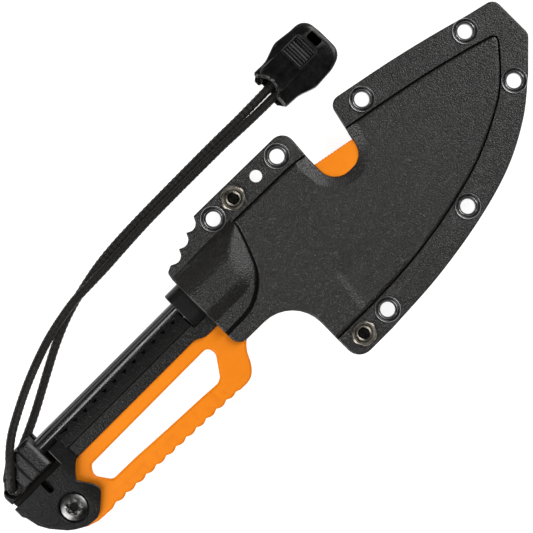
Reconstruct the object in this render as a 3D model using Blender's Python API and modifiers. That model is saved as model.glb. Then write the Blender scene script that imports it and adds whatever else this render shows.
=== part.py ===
"""Full-tang knife in a moulded two-shell sheath, with a fire rod along its handle and a cord lanyard.

Lengths are in millimetres in the knife's own frame: X runs along the knife towards its tip, Y towards
its spine and Z out of its side, with Z = 0 in the middle of the blade. An empty carries that frame to
the part's frame, in metres, whose origin lies under the middle of the sheathed knife, on the surface
that the belt loop rests on.
"""

import math

import bmesh
import bpy
from mathutils import Matrix, Vector

MM = 0.001
GAP = 0.3  # between pieces that touch
CUT = 30.0  # how far a cutter runs past what it cuts
NUDGE = 0.01  # keeps two cutters' faces apart

# The knife's frame in the part's frame
MIDDLE_X = 0.2
MIDDLE_Y = -9.95
LIFT = 15.8

# Blade steel and what is laid on it
BLADE_HALF = 2.0
EDGE_HALF = 0.15
SCALE_LOW = BLADE_HALF + GAP
SCALE_FLAT = 4.2
SCALE_RIB = 6.0
POMMEL_TOP = 6.2

# Fire rod
ROD_RADIUS = 4.0
ROD_Y = 14.2
ROD_START = -136.0
ROD_END = -24.0
BORE_RADIUS = ROD_RADIUS + GAP

# Collar round the rod and the tang
COLLAR_START = -40.9
COLLAR_END = -18.0
COLLAR_LOW = 2.2
COLLAR_HIGH = 22.3
COLLAR_HALF = 6.2
COLLAR_ROUND = 5.5

# Sheath shells
SHELL_LOW = GAP / 2
RIM_TOP = 2.35
POCKET_TOP = 4.4
DISH_TOP = 3.5
LEDGE_TOP = 6.4
BULGE_TOP = 8.6
SLOT_HALF = 2.4
MOUTH_X = -33.2
THROAT_END = -14.0

# Holes and fasteners
EYELETS = (
    (-1.8, 31.1), (37.2, 30.8), (81.0, 22.2), (133.7, 11.3), (133.7, -19.0), (80.7, -43.5), (24.2, -50.6),
)
EYELET_BORE = 3.25
EYELET_BARREL = 3.75
EYELET_FLANGE = 5.75
SPARE_HOLE = (24.6, 31.2)
SPARE_RADIUS = 2.75
LOOP_SCREWS = (("upper", 10.7, 31.2), ("lower", 9.5, -50.6))
LOOP_SHAFT = 2.0
LOOP_HEAD = 4.2
LOOP_SEAT = 6.0  # how far below the blade's middle the loop screws' heads start
NUT_CORNERS = 5.6
NUT_TOP = 5.0
POMMEL_SCREW = (-133.3, -14.8)
COLLAR_PINS = ((-30.0, 6.3), (-24.6, 6.3))
SCALE_PIN = (-27.3, -0.6)
SCREW_HOLE = 3.3  # radius for the pommel's screw
COLLAR_PIN = 1.4
SMALL_PIN = 1.2

# Belt loop
STRAP_TOP = -LIFT + 2.4
FOOT_TOP = -RIM_TOP - GAP

# Rod grip
GRIP_HALF = 5.9
GRIP_TAB_HALF = 4.2

# Lanyard and its clamp
CORD_RADIUS = 1.9
CORD_REST = -LIFT + CORD_RADIUS + 0.05
CLAMP_HALF = 6.2
CLAMP_Z = -LIFT + CLAMP_HALF + 0.1
TURN_RADIUS = 7.8
TURN_MIDDLE = (-142.0, 15.3)
TURN_TOWARDS = (0.68, 0.733)

# The route's points before and after its turn through the grip: (x, y, z)
ROUTE_IN = (
    (64.0, 54.9, CLAMP_Z), (56.0, 54.8, CLAMP_Z - 0.2), (46.0, 54.7, CLAMP_Z - 1.9),
    (36.0, 54.7, CORD_REST + 0.5), (24.0, 54.9, CORD_REST), (8.0, 54.9, CORD_REST),
    (-8.0, 54.8, CORD_REST), (-24.0, 54.6, CORD_REST),
    (-40.0, 54.0, CORD_REST), (-52.0, 52.8, CORD_REST), (-62.0, 50.9, CORD_REST), (-71.0, 48.7, CORD_REST),
    (-80.0, 45.8, CORD_REST), (-90.0, 41.5, CORD_REST), (-100.0, 36.3, CORD_REST + 0.2),
    (-110.0, 30.8, CORD_REST + 1.2), (-119.0, 25.9, CORD_REST + 2.8), (-128.0, 21.6, CORD_REST + 4.6),
    (-136.5, 18.0, CORD_REST + 5.8),
)
ROUTE_OUT = (
    (-136.6, 21.1, 7.7), (-130.0, 26.6, 5.9), (-121.0, 32.1, 1.0), (-111.5, 37.2, -5.0),
    (-101.5, 41.6, -9.6), (-91.0, 45.2, -10.9), (-81.0, 47.5, -10.4), (-71.0, 49.1, -10.0),
    (-61.0, 49.5, -10.4), (-51.0, 49.8, -11.2), (-40.0, 50.5, -11.7), (-24.0, 51.3, -11.7),
    (-8.0, 51.5, -11.7), (8.0, 51.5, -11.7), (24.0, 51.4, -11.7), (36.0, 50.9, -11.6),
    (46.0, 50.6, CLAMP_Z - 1.4), (56.0, 50.5, CLAMP_Z - 0.2), (64.0, 50.4, CLAMP_Z),
)

# Outlines: corners as (x, y) or (x, y, rounding radius)
POCKET_UPPER = (
    (-15, 24.6), (10, 24.0), (37, 23.5), (46, 22.2), (67.5, 18.1), (90, 13.9), (110, 9.6), (130, 4.6),
)
POCKET_TIP = (142.6, 0.8, 2.0)
POCKET_LOWER = (
    (140, -3.2), (130, -14.0), (120, -21.5), (100, -31.3), (80, -37.2), (60, -41.2), (40, -43.4), (20, -44.2),
)
SLOT_UPPER = ((-15, 22.7), (10, 22.2), (37, 21.5), (67.5, 16.3), (90, 12.1), (110, 7.8), (130, 2.9))
SLOT_LOWER = (
    (136.5, -3.6), (128, -12.3), (118, -20.2), (99, -29.6), (80, -35.4), (60, -39.5), (40, -41.8), (20, -42.6),
)
BELLY = ((20, -57.9), (50, -56.0), (80, -51.2), (105, -44.0), (125, -33.5), (140, -21.5))
TOP_EDGE = ((140, 15.5), (120, 20.9), (100, 25.6), (80, 29.6))
BLADE_EDGE = (
    (20, -41.5), (40, -40.6), (60, -38.3), (80, -34.2), (100, -28.2), (115, -21.0), (125, -14.2), (132, -6.6),
)
GRIND_LINE = (
    (22, -16), (40, -14.3), (60, -12.5), (80, -9.2), (100, -6.2), (115, -4.4), (125, -3.4), (132, -2.6),
)


# ---------------------------------------------------------------- outlines


def rounded(corners, step=math.radians(30)):
    """The corners' outline, with an arc of the third number's radius at each corner that has one."""
    points = []
    for i, corner in enumerate(corners):
        here = Vector(corner[:2])
        if len(corner) < 3:
            points.append(tuple(here))
            continue
        back = (Vector(corners[i - 1][:2]) - here).normalized()
        ahead = (Vector(corners[(i + 1) % len(corners)][:2]) - here).normalized()
        turn = math.pi - back.angle(ahead)
        run = corner[2] * math.tan(turn / 2)
        middle = here + (back + ahead).normalized() * (corner[2] / math.cos(turn / 2))
        first = here + back * run - middle
        side = 1 if back.cross(ahead) < 0 else -1
        count = max(2, math.ceil(turn / step))
        for k in range(count + 1):
            spin = Matrix.Rotation(side * turn * k / count, 2)
            points.append(tuple(middle + spin @ first))
    return points


def through(points, per_span=3):
    """A smooth curve through the points, with its ends."""
    p = [Vector(q) for q in points]
    p = [2 * p[0] - p[1], *p, 2 * p[-1] - p[-2]]
    found = []
    for i in range(1, len(p) - 2):
        for k in range(per_span):
            t = k / per_span
            a = 2 * p[i] + (p[i + 1] - p[i - 1]) * t
            b = (2 * p[i - 1] - 5 * p[i] + 4 * p[i + 1] - p[i + 2]) * t * t
            c = (3 * p[i] - p[i - 1] - 3 * p[i + 1] + p[i + 2]) * t**3
            found.append(tuple((a + b + c) / 2))
    found.append(tuple(p[-2]))
    return found


def even(points, spacing):
    """Points about that far apart along a line of points."""
    line = [Vector(q) for q in points]
    far = [0.0]
    for a, b in zip(line, line[1:]):
        far.append(far[-1] + (b - a).length)
    count = round(far[-1] / spacing)
    found = []
    span = 0
    for k in range(count + 1):
        at = far[-1] * k / count
        while span < len(far) - 2 and far[span + 1] < at:
            span += 1
        share = (at - far[span]) / (far[span + 1] - far[span])
        found.append(tuple(line[span].lerp(line[span + 1], min(share, 1.0))))
    return found


def circle(x, y, radius, count=24):
    angles = [math.tau * k / count for k in range(count)]
    return [(x + radius * math.cos(a), y + radius * math.sin(a)) for a in angles]


# ---------------------------------------------------------------- scene and solids


def clear():
    for old in list(bpy.data.objects):
        bpy.data.objects.remove(old)


def collection(name):
    found = bpy.data.collections.new(name)
    bpy.context.scene.collection.children.link(found)
    return found


def material(name, colour, roughness, metallic=0.0):
    made = bpy.data.materials.new(name)
    made.use_nodes = True
    shader = made.node_tree.nodes["Principled BSDF"]
    shader.inputs["Base Color"].default_value = (*colour, 1.0)
    shader.inputs["Roughness"].default_value = roughness
    shader.inputs["Metallic"].default_value = metallic
    return made


def frame(name, parent=None, at=(0.0, 0.0, 0.0)):
    empty = bpy.data.objects.new(name, None)
    empty.location = Vector(at) * MM
    empty.parent = parent
    PARTS.objects.link(empty)
    return empty


def placed(name, mesh, parent, finish=None, cutter=False):
    """An object of that mesh, as a part or as a tool for Boolean modifiers."""
    made = bpy.data.objects.new(name, mesh)
    made.parent = parent
    (CUTTERS if cutter else PARTS).objects.link(made)
    if cutter:
        made.hide_render = True
        made.display_type = "WIRE"
    else:
        mesh.materials.append(finish)
    return made


def finished(mesh, name):
    """The mesh with its seams welded and its faces pointing out."""
    work = bmesh.new()
    work.from_mesh(mesh)
    bmesh.ops.remove_doubles(work, verts=work.verts, dist=0.002 * MM)
    bmesh.ops.recalc_face_normals(work, faces=work.faces)
    work.to_mesh(mesh)
    work.free()
    mesh.name = name
    return mesh


def slab_mesh(name, points, low, high):
    """A flat outline between two heights, from a filled 2D curve."""
    curve = bpy.data.curves.new(name, "CURVE")
    curve.dimensions = "2D"
    curve.fill_mode = "BOTH"
    curve.extrude = abs(high - low) / 2 * MM
    curve.resolution_u = 1
    spline = curve.splines.new("POLY")
    spline.points.add(len(points) - 1)
    spline.use_cyclic_u = True
    for point, (x, y) in zip(spline.points, points):
        point.co = (x * MM, y * MM, 0.0, 1.0)
    holder = bpy.data.objects.new(name, curve)
    bpy.context.scene.collection.objects.link(holder)
    graph = bpy.context.evaluated_depsgraph_get()
    mesh = bpy.data.meshes.new_from_object(holder.evaluated_get(graph))
    bpy.data.objects.remove(holder)
    bpy.data.curves.remove(curve)
    mesh.transform(Matrix.Translation((0, 0, (high + low) / 2 * MM)))
    return finished(mesh, name)


def slab(name, points, low, high, parent, finish=None, side=1):
    """A slab as a part, or as a cutter if it has no finish; side -1 puts it on the back."""
    mesh = slab_mesh(name, points, side * low, side * high)
    return placed(name, mesh, parent, finish, cutter=finish is None)


def loft(name, sections, parent, finish=None):
    """A closed skin over sections that have the same number of points, with both ends filled."""
    work = bmesh.new()
    rings = [[work.verts.new(Vector(p) * MM) for p in section] for section in sections]
    for a, b in zip(rings, rings[1:]):
        for k in range(len(a)):
            n = (k + 1) % len(a)
            work.faces.new((a[k], a[n], b[n], b[k]))
    work.faces.new(rings[0])
    work.faces.new(rings[-1])
    mesh = bpy.data.meshes.new(name)
    work.to_mesh(mesh)
    work.free()
    return placed(name, finished(mesh, name), parent, finish, cutter=finish is None)


def cylinder(name, at, radius, low, high, parent, finish=None, sides=24, axis="Z"):
    """A cylinder about an axis through at, from low to high along it."""
    work = bmesh.new()
    bmesh.ops.create_cone(
        work, cap_ends=True, segments=sides, radius1=radius * MM, radius2=radius * MM, depth=(high - low) * MM
    )
    mesh = bpy.data.meshes.new(name)
    work.to_mesh(mesh)
    work.free()
    middle = (low + high) / 2
    if axis == "Z":
        mesh.transform(Matrix.Translation(Vector((at[0], at[1], middle)) * MM))
    else:
        mesh.transform(Matrix.Rotation(math.radians(90), 4, "Y"))
        mesh.transform(Matrix.Translation(Vector((middle, at[0], at[1])) * MM))
    return placed(name, mesh, parent, finish, cutter=finish is None)


def turned(name, profile, at, parent, finish, closed, steps=24):
    """A profile of (radius, height), down the outside, turned about a vertical axis through at."""
    mesh = bpy.data.meshes.new(name)
    edges = [(k, k + 1) for k in range(len(profile) - 1)]
    if closed:
        edges.append((len(profile) - 1, 0))
    mesh.from_pydata([(r * MM, 0.0, z * MM) for r, z in profile], edges, [])
    made = placed(name, mesh, parent, finish)
    made.location = (at[0] * MM, at[1] * MM, 0.0)
    screw = made.modifiers.new("Turn", "SCREW")
    screw.steps = steps
    screw.render_steps = steps
    screw.use_merge_vertices = True
    screw.merge_threshold = 0.00001
    return made


def boolean(target, other, operation):
    step = target.modifiers.new(other.name, "BOOLEAN")
    step.operation = operation
    step.solver = "EXACT"
    step.object = other


def cut(target, *cutters):
    for other in cutters:
        boolean(target, other, "DIFFERENCE")


def join(target, *others):
    for other in others:
        boolean(target, other, "UNION")


# ---------------------------------------------------------------- sheath


def scallops():
    """The three waves down the rim to the mouth, from the spine side."""
    points = []
    for k in range(3):
        x = -7.3 - 7.23 * k
        y = 37.9 - 2.7 * k
        points += [(x, y), (x - 1.2, y - 0.5), (x - 2.6, y - 2.1), (x - 4.7, y - 3.8), (x - 6.2, y - 3.3)]
    return [*points, (-29.0, 29.8), (-30.6, 29.2), (-32.2, 27.8), (-33.4, 25.6)]


def sheath_outline():
    corners = [
        (MOUTH_X - 1, -16.3, 6.0), (-0.2, -16.6, 17.5), (-0.6, -44.0), (-0.6, -57.9, 7.0),
        *through(BELLY), (152.7, -8.9, 4.0), (152.7, 12.5, 4.5), *through(TOP_EDGE, 2),
        (70.0, 31.5, 4.5), (63.8, 4.0, 8.0), (45.8, 4.0, 9.0), (46.2, 20.0), (47.6, 37.3, 6.0),
        *scallops(), (MOUTH_X - 1, 25.0),
    ]
    return rounded(corners)


def pocket_line():
    """The raised pocket's edge, from the mouth round the tip to the lower corner."""
    tip = rounded([(130, 4.6), POCKET_TIP, (140, -3.2)])[1:-1]
    upper = through(POCKET_UPPER, 2)
    lower = through(POCKET_LOWER, 2)
    return [(-60.0, 24.9), (-34.0, 24.9), *upper, *tip, *lower, (0.0, -44.1), (-60.0, -44.1)]


def bulge_section(x, low, high, top):
    """One arch of the throat bulge across the sheath."""
    radius = min(top - 0.7, (high - low) / 2)
    rise = top - radius
    points = [(x, low, 0.4)]
    for k in range(7):
        angle = math.radians(15 * k)
        points.append((x, low + radius - radius * math.cos(angle), rise + radius * math.sin(angle)))
    for k in range(6, -1, -1):
        angle = math.radians(15 * k)
        points.append((x, high - radius + radius * math.cos(angle), rise + radius * math.sin(angle)))
    points.append((x, high, 0.4))
    return points


def bulge_sections():
    return [
        bulge_section(MOUTH_X - 3, -0.2, 24.7, BULGE_TOP),
        bulge_section(-14.0, -0.2, 24.7, BULGE_TOP),
        bulge_section(-9.5, 0.4, 24.6, 7.8),
        bulge_section(-4.5, 4.0, 24.4, 6.3),
        bulge_section(0.0, 11.0, 24.2, 5.1),
        bulge_section(3.6, 16.0, 24.0, 4.0),
    ]


def collar_section(grow=0.0):
    """Half of the collar's section across the knife, on the front side: (y, z)."""
    radius = COLLAR_ROUND + grow
    low = COLLAR_LOW - grow
    high = COLLAR_HIGH + grow
    top = COLLAR_HALF + grow
    arc = [math.radians(15 * k) for k in range(7)]
    height = [top - radius + radius * math.sin(a) for a in arc]
    inset = [radius * (1 - math.cos(a)) for a in arc]
    rising = [(low + side, z) for side, z in zip(inset, height)]
    falling = [(high - side, z) for side, z in zip(inset, height)]
    return rising + falling[::-1]


def whole_collar_section(grow=0.0):
    front = collar_section(grow)
    return front + [(y, -z) for y, z in reversed(front)]


def shell(side, name):
    """One half of the sheath: a plate with a raised pocket, a throat bulge and its holes."""
    made = slab(name, sheath_outline(), SHELL_LOW, POCKET_TOP, SHEATH, SHEATH_PLASTIC, side)
    beyond = [(-60, -110), (230, -110), (230, 110), (-60, 110)]
    rim = slab(f"{name}_rim_step", pocket_line() + beyond, RIM_TOP, CUT, SHEATH, side=side)
    cut(made, rim)
    sections = [[(x, y, side * z) for x, y, z in section] for section in bulge_sections()]
    bulge = loft(f"{name}_bulge", sections, SHEATH)
    ledge_line = [
        (MOUTH_X - 2, 2.0), (MOUTH_X - 2, -8.4), (-25, -8.5), (-18, -7.8), (-12.5, -5.5), (-9, -2.6), (-6.5, 2.0),
    ]
    ledge = slab(f"{name}_ledge", ledge_line, 1.0, LEDGE_TOP, SHEATH, side=side)
    join(made, bulge, ledge)
    slot_line = [
        (-70, 22.8), (-34, 22.8), *through(SLOT_UPPER, 2), (138.6, 0.3), *through(SLOT_LOWER, 2),
        (-3.0, -42.9), (-9, -26), (-16, -20), (-70, -20),
    ]
    slot = slab(f"{name}_blade_slot", slot_line, -1.0, SLOT_HALF, SHEATH, side=side)
    rings = [[(x, y, z) for y, z in whole_collar_section(0.4)] for x in (-70.0, THROAT_END)]
    throat = loft(f"{name}_throat", rings, SHEATH)
    tongue_line = [(-70, 4.0), (-70, -3.6), (-17.5, -3.6), (-17.5, 4.0)]
    tongue = slab(f"{name}_tongue_slot", tongue_line, -1.0, SCALE_FLAT + 0.4, SHEATH, side=side)
    dish_line = rounded([(40.4, 24.5), (40.4, -1.2, 13.0), (70.6, -1.2, 13.0), (73.0, 24.5)])
    dish = slab(f"{name}_notch_dish", dish_line, DISH_TOP, CUT, SHEATH, side=side)
    mouth_line = [(-90, -90), (MOUTH_X, -90), (MOUTH_X, 90), (-90, 90)]
    mouth = slab(f"{name}_mouth", mouth_line, -CUT, CUT, SHEATH)
    cut(made, slot, throat, tongue, dish, mouth)
    for k, at in enumerate(EYELETS):
        cut(made, cylinder(f"{name}_eyelet_hole_{k + 1}", at, EYELET_BARREL + GAP, -CUT, CUT, SHEATH, sides=18))
    cut(made, cylinder(f"{name}_spare_hole", SPARE_HOLE, SPARE_RADIUS, -CUT, CUT, SHEATH, sides=18))
    for which, x, y in LOOP_SCREWS:
        cut(made, cylinder(f"{name}_{which}_screw_hole", (x, y), LOOP_SHAFT + GAP, -CUT, CUT, SHEATH, sides=16))
    return made


def eyelet(number, at):
    """A rolled eyelet through both shells."""
    under = RIM_TOP + GAP
    top = under + 1.3
    profile = [
        (EYELET_BORE + 1.1, top), (EYELET_FLANGE, under + 0.3), (EYELET_BARREL, under),
        (EYELET_BARREL, -under), (EYELET_FLANGE, -under - 0.3), (EYELET_BORE + 1.1, -top),
        (EYELET_BORE, 0.6 - top), (EYELET_BORE, top - 0.6),
    ]
    return turned(f"eyelet_{number}", profile, at, SHEATH, EYELET_METAL, closed=True, steps=18)


def loop_nut(which, x, y):
    """A hexagonal nut on the front, open in the middle."""
    low = RIM_TOP + GAP
    made = cylinder(f"loop_nut_{which}", (x, y), NUT_CORNERS, low, NUT_TOP, SHEATH, NUT_STEEL, sides=6)
    bore = cylinder(f"nut_{which}_bore", (x, y), LOOP_SHAFT + GAP, -CUT, CUT, SHEATH, sides=16)
    cut(made, bore)
    return made


def loop_screw(which, x, y):
    """A countersunk screw that comes through the belt loop's foot from behind."""
    profile = [
        (0.0, 4.2), (LOOP_SHAFT - 0.3, 4.2), (LOOP_SHAFT, 3.9), (LOOP_SHAFT, -LOOP_SEAT), (LOOP_HEAD, -LOOP_SEAT),
        (LOOP_HEAD, -8.0), (LOOP_HEAD - 0.6, -8.6), (0.0, -8.6),
    ]
    return turned(f"loop_screw_{which}", profile, (x, y), SHEATH, NUT_STEEL, closed=False, steps=16)


def belt_loop():
    """A strap behind the sheath on two feet, wider in the middle."""
    strap_line = rounded([
        (1.0, -57.0, 3.0), (19.5, -57.0, 3.0), (19.5, -14.0, 3.0), (40.0, -12.0, 4.0), (40.0, 20.0, 4.0),
        (20.0, 22.0, 3.0), (20.0, 37.0, 3.0), (2.5, 37.0, 3.0), (2.0, 22.0, 3.0), (-24.0, 20.0, 4.0),
        (-24.0, -12.0, 4.0), (1.0, -14.0, 3.0),
    ])
    made = slab("belt_loop", strap_line, -LIFT, STRAP_TOP, SHEATH, SHEATH_PLASTIC)
    feet = (("upper", (4.7, 25.7, 19.3, 36.3)), ("lower", (1.7, -56.3, 17.6, -45.3)))
    for which, (x0, y0, x1, y1) in feet:
        foot_line = rounded([(x0, y0, 2.0), (x1, y0, 2.0), (x1, y1, 2.0), (x0, y1, 2.0)])
        join(made, slab(f"belt_loop_{which}_foot", foot_line, STRAP_TOP - 1.0, FOOT_TOP, SHEATH))
    for which, x, y in LOOP_SCREWS:
        name = f"belt_loop_{which}"
        cut(made, cylinder(f"{name}_hole", (x, y), LOOP_SHAFT + GAP, -CUT, CUT, SHEATH, sides=16))
        seat = GAP - LOOP_SEAT
        cut(made, cylinder(f"{name}_counterbore", (x, y), LOOP_HEAD + GAP, -CUT, seat, SHEATH, sides=16))
    return made


def build_sheath():
    shell(1, "sheath_front_shell")
    shell(-1, "sheath_back_shell")
    for number, at in enumerate(EYELETS, 1):
        eyelet(number, at)
    for which, x, y in LOOP_SCREWS:
        loop_nut(which, x, y)
        loop_screw(which, x, y)
    belt_loop()


# ---------------------------------------------------------------- knife


def jimping(first, last, pitch, depth):
    """Notches in the straight edge from first to last, on the side of depth."""
    a = Vector(first)
    run = Vector(last) - a
    count = round(run.length / pitch)
    points = []
    for k in range(count):
        middle = a + run * ((k + 0.5) / count)
        points += [tuple(a + run * ((k + 0.12) / count)), (middle.x, middle.y + depth)]
        points.append(tuple(a + run * ((k + 0.88) / count)))
    return points


def blank_outline():
    """The steel from the pommel along the finger side to the tip, and back along the spine."""
    return [
        (-151.4, 2.6), (-151.4, -2.0), (-149.6, -9.0), (-146.9, -14.0), (-142.5, -20.0), (-139.5, -22.6),
        (-135.0, -25.2), (-130.0, -26.8), (-122.0, -27.1),
        *jimping((-119.0, -27.15), (-47.6, -29.9), 5.95, 1.0),
        (-46.0, -29.95), (-41.5, -30.0), (-38.0, -28.8), (-36.0, -27.0), (-34.5, -25.0), (-33.3, -22.0),
        (-32.0, -20.0), (-30.0, -17.5), (-28.3, -16.2), (-26.0, -14.9), (-16.0, -15.0), (-12.0, -15.8),
        (-8.5, -17.6), (-5.0, -20.5), (-2.5, -24.0), (0.3, -28.0), (1.2, -33.0), (1.3, -41.3),
        *through(BLADE_EDGE, 2), (134.5, -1.6), *through(((125, 1.2), (105, 5.2), (85, 9.2), (66, 12.9)), 2),
        *reversed(jimping((46.3, 16.6), (65.0, 13.1), 2.3, -0.5)),
        (44.0, 17.0), (30.0, 19.2), (5.0, 20.6), (-20.6, 20.6), (-20.6, 9.5), (-123.6, 9.5), (-123.6, 2.6),
    ]


def window_outline():
    return rounded([
        (-114.9, -7.0, 1.5), (-45.2, -6.7, 1.5), (-42.2, -9.3, 1.8), (-42.9, -12.2, 3.0), (-50.0, -21.0, 4.0),
        (-60.0, -20.5), (-80.0, -19.6), (-100.0, -18.5), (-112.6, -18.2, 1.5), (-117.4, -11.2, 2.0),
    ])


def grind(side):
    """The wedge that is ground off one side of the blade."""
    sections = []
    edge = [(19.0, -41.5), *BLADE_EDGE, (136.0, -2.0)]
    line = [(19.6, -24.0), *GRIND_LINE, (136.0, -1.9)]
    for (ex, ey), (gx, gy) in zip(edge, line):
        away = Vector((ex, ey)) - Vector((gx, gy))
        away = away.normalized() if away.length > 1 else Vector((0, -1))
        outer = Vector((ex, ey)) + away * 3.0
        run = (Vector((ex, ey)) - Vector((gx, gy))).length
        slope = (BLADE_HALF - EDGE_HALF) / max(run, 1.2)
        low = BLADE_HALF - slope * (run + 3.0)
        inner = Vector((gx, gy)) - away * 0.6
        lift = BLADE_HALF + slope * 0.6
        sections.append([
            (*inner, side * lift), (*outer, side * low), (*outer, side * 6.0), (*inner, side * 6.0),
        ])
    return loft("grind_front" if side > 0 else "grind_back", sections, KNIFE)


def knife_blank():
    made = slab("knife_blank", blank_outline(), -BLADE_HALF, BLADE_HALF, KNIFE, ORANGE_COAT)
    cut(made, slab("handle_window", window_outline(), -CUT, CUT, KNIFE))
    cut(made, grind(1), grind(-1))
    cut(made, cylinder("blank_pommel_hole", POMMEL_SCREW, SCREW_HOLE, -CUT, CUT, KNIFE))
    for k, at in enumerate(COLLAR_PINS, 1):
        cut(made, cylinder(f"blank_collar_hole_{k}", at, COLLAR_PIN + GAP, -CUT, CUT, KNIFE, sides=16))
    cut(made, cylinder("blank_scale_hole", SCALE_PIN, SMALL_PIN + GAP, -CUT, CUT, KNIFE, sides=16))
    return made


def pommel_outline():
    return [
        (-151.8, 2.6), (-152.2, 1.6), (-152.2, -2.0), (-151.3, -3.5), (-150.0, -9.5), (-147.5, -14.0),
        (-145.0, -17.0), (-142.5, -20.0), (-140.0, -22.0), (-137.5, -23.5), (-135.0, -24.8), (-131.0, -25.3),
        (-129.0, -25.3), (-126.5, -24.0), (-123.0, -21.0), (-120.3, -18.5), (-119.4, -17.0), (-119.4, -15.5),
        (-120.3, -13.0), (-122.5, -10.0), (-124.0, -7.5), (-123.0, -5.5), (-119.5, -2.0), (-117.2, -0.6),
    ]


def rib_line():
    """The scalloped edge that lies over the rod, from the collar to the pommel."""
    points = []
    for k in range(12):
        x = -46.0 - 6.0 * k
        points += [(x + 4.6, 12.3), (x + 1.4, 12.3), (x, 10.9)]
    return [(x, y) for x, y in points if x > -116.0]


def scale(side, name):
    """One handle scale: a thin plate, a ribbed band that overhangs the rod, and the pommel."""
    base_line = [
        *pommel_outline(), (-45.0, -0.6), (-40.5, -3.0), (-20.0, -3.0), (-20.0, 1.9), (-41.2, 1.9),
        (-41.2, 9.9), (-117.4, 9.9), (-124.0, 9.9), (-124.0, 2.6),
    ]
    made = slab(name, base_line, SCALE_LOW, SCALE_FLAT, KNIFE, HANDLE_PLASTIC, side)
    inside = SCALE_FLAT - 0.6
    pommel_line = [*pommel_outline(), (-117.2, 10.6), (-123.8, 10.6), (-123.8, 2.5)]
    pommel = slab(f"{name}_pommel", pommel_line, inside, POMMEL_TOP, KNIFE, side=side)
    band_line = [(-118.0, 5.4), (-118.0, 9.7), (-41.3, 9.7), (-41.3, 5.4)]
    band = slab(f"{name}_band", band_line, inside, SCALE_RIB, KNIFE, side=side)
    lip_line = [(-41.4, 9.0), (-41.4, 12.3), *rib_line(), (-116.6, 12.3), (-118.2, 12.3), (-118.2, 9.0)]
    lip = slab(f"{name}_lip", lip_line, BORE_RADIUS + 0.05, SCALE_RIB - 0.02, KNIFE, side=side)
    join(made, pommel, band, lip)
    wedge = ((-5.0, POMMEL_TOP), (-30.0, 4.3), (-30.0, 9.0), (-5.0, 9.0))
    wedge_ends = [[(x, y, side * z) for y, z in wedge] for x in (-155.0, -115.0)]
    ramp = loft(f"{name}_pommel_ramp", wedge_ends, KNIFE)
    slot_line = rounded([(-136.6, 3.2, 1.5), (-133.2, 3.2, 1.5), (-133.2, -3.4, 1.5), (-136.6, -3.4, 1.5)])
    slot = slab(f"{name}_slot", slot_line, 5.2, CUT, KNIFE, side=side)
    recess = slab(f"{name}_recess", circle(*POMMEL_SCREW, 6.6), 3.6, CUT, KNIFE, side=side)
    cut(made, ramp, slot, recess)
    cut(made, cylinder(f"{name}_screw_hole", POMMEL_SCREW, SCREW_HOLE, -CUT, CUT, KNIFE))
    cut(made, cylinder(f"{name}_pin_hole", SCALE_PIN, SMALL_PIN + GAP, -CUT, CUT, KNIFE, sides=16))
    return made


def rod_collar():
    """A sleeve for the rod that straddles the tang and fits the sheath's throat."""
    ends = []
    for x, grow in ((COLLAR_START, -1.0), (COLLAR_START + 1.4, 0.0), (COLLAR_END, 0.0)):
        ends.append([(x, y, z) for y, z in whole_collar_section(grow)])
    made = loft("rod_collar", ends, KNIFE, HANDLE_PLASTIC)
    bore = cylinder("collar_bore", (ROD_Y, 0.0), BORE_RADIUS, COLLAR_START - 20, -22.5, KNIFE, axis="X")
    saddle_line = [(-60, -5), (0, -5), (0, 9.8), (-21.0, 9.8), (-60, 9.8)]
    saddle = slab("collar_saddle", saddle_line, -SCALE_LOW, SCALE_LOW, KNIFE)
    riser_line = [(-21.0, 5), (0, 5), (0, 20.9), (-21.0, 20.9)]
    wide = SCALE_LOW + NUDGE
    riser = slab("collar_riser", riser_line, -wide, wide, KNIFE)
    throat_line = [(-60, 9.0), (-21.6, 9.0), (-21.6, 10.9), (-60, 10.9)]
    narrow = SCALE_LOW - NUDGE
    throat = slab("collar_merge", throat_line, -narrow, narrow, KNIFE)
    cut(made, saddle, riser, bore, throat)
    for k, at in enumerate(COLLAR_PINS, 1):
        cut(made, cylinder(f"collar_pin_hole_{k}", at, COLLAR_PIN + GAP, -CUT, CUT, KNIFE, sides=16))
    return made


def build_knife():
    knife_blank()
    scale(1, "handle_scale_front")
    scale(-1, "handle_scale_back")
    rod_collar()
    head = [(0.0, 5.5), (4.2, 5.5), (5.5, 5.1), (5.9, 4.6), (5.9, 3.9), (2.0, 3.9), (2.0, -3.6), (0.0, -3.6)]
    turned("pommel_screw", head, POMMEL_SCREW, KNIFE, SCREW_STEEL, closed=False, steps=24)
    barrel = [(2.3, 3.3), (3.0, 3.3), (3.0, -3.9), (5.9, -3.9), (5.9, -4.6), (5.5, -5.1), (4.2, -5.5), (2.3, -5.5)]
    turned("pommel_nut", barrel, POMMEL_SCREW, KNIFE, SCREW_STEEL, closed=True, steps=24)
    for k, at in enumerate(COLLAR_PINS, 1):
        cylinder(f"collar_pin_{k}", at, COLLAR_PIN, -5.3, 5.3, KNIFE, SCREW_STEEL, sides=16)
    half = SCALE_FLAT - GAP
    cylinder("scale_pin", SCALE_PIN, SMALL_PIN, -half, half, KNIFE, SCREW_STEEL, sides=16)


# ---------------------------------------------------------------- fire rod and lanyard


def grip_outline():
    return rounded([
        (-152.2, 4.8, 0.6), (-152.1, 9.5, 4.0), (-146.5, 15.9, 8.0), (-140.5, 20.2, 4.0), (-133.4, 21.3, 2.0),
        (-125.6, 21.3, 0.8), (-125.6, 4.8, 0.8),
    ])


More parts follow.
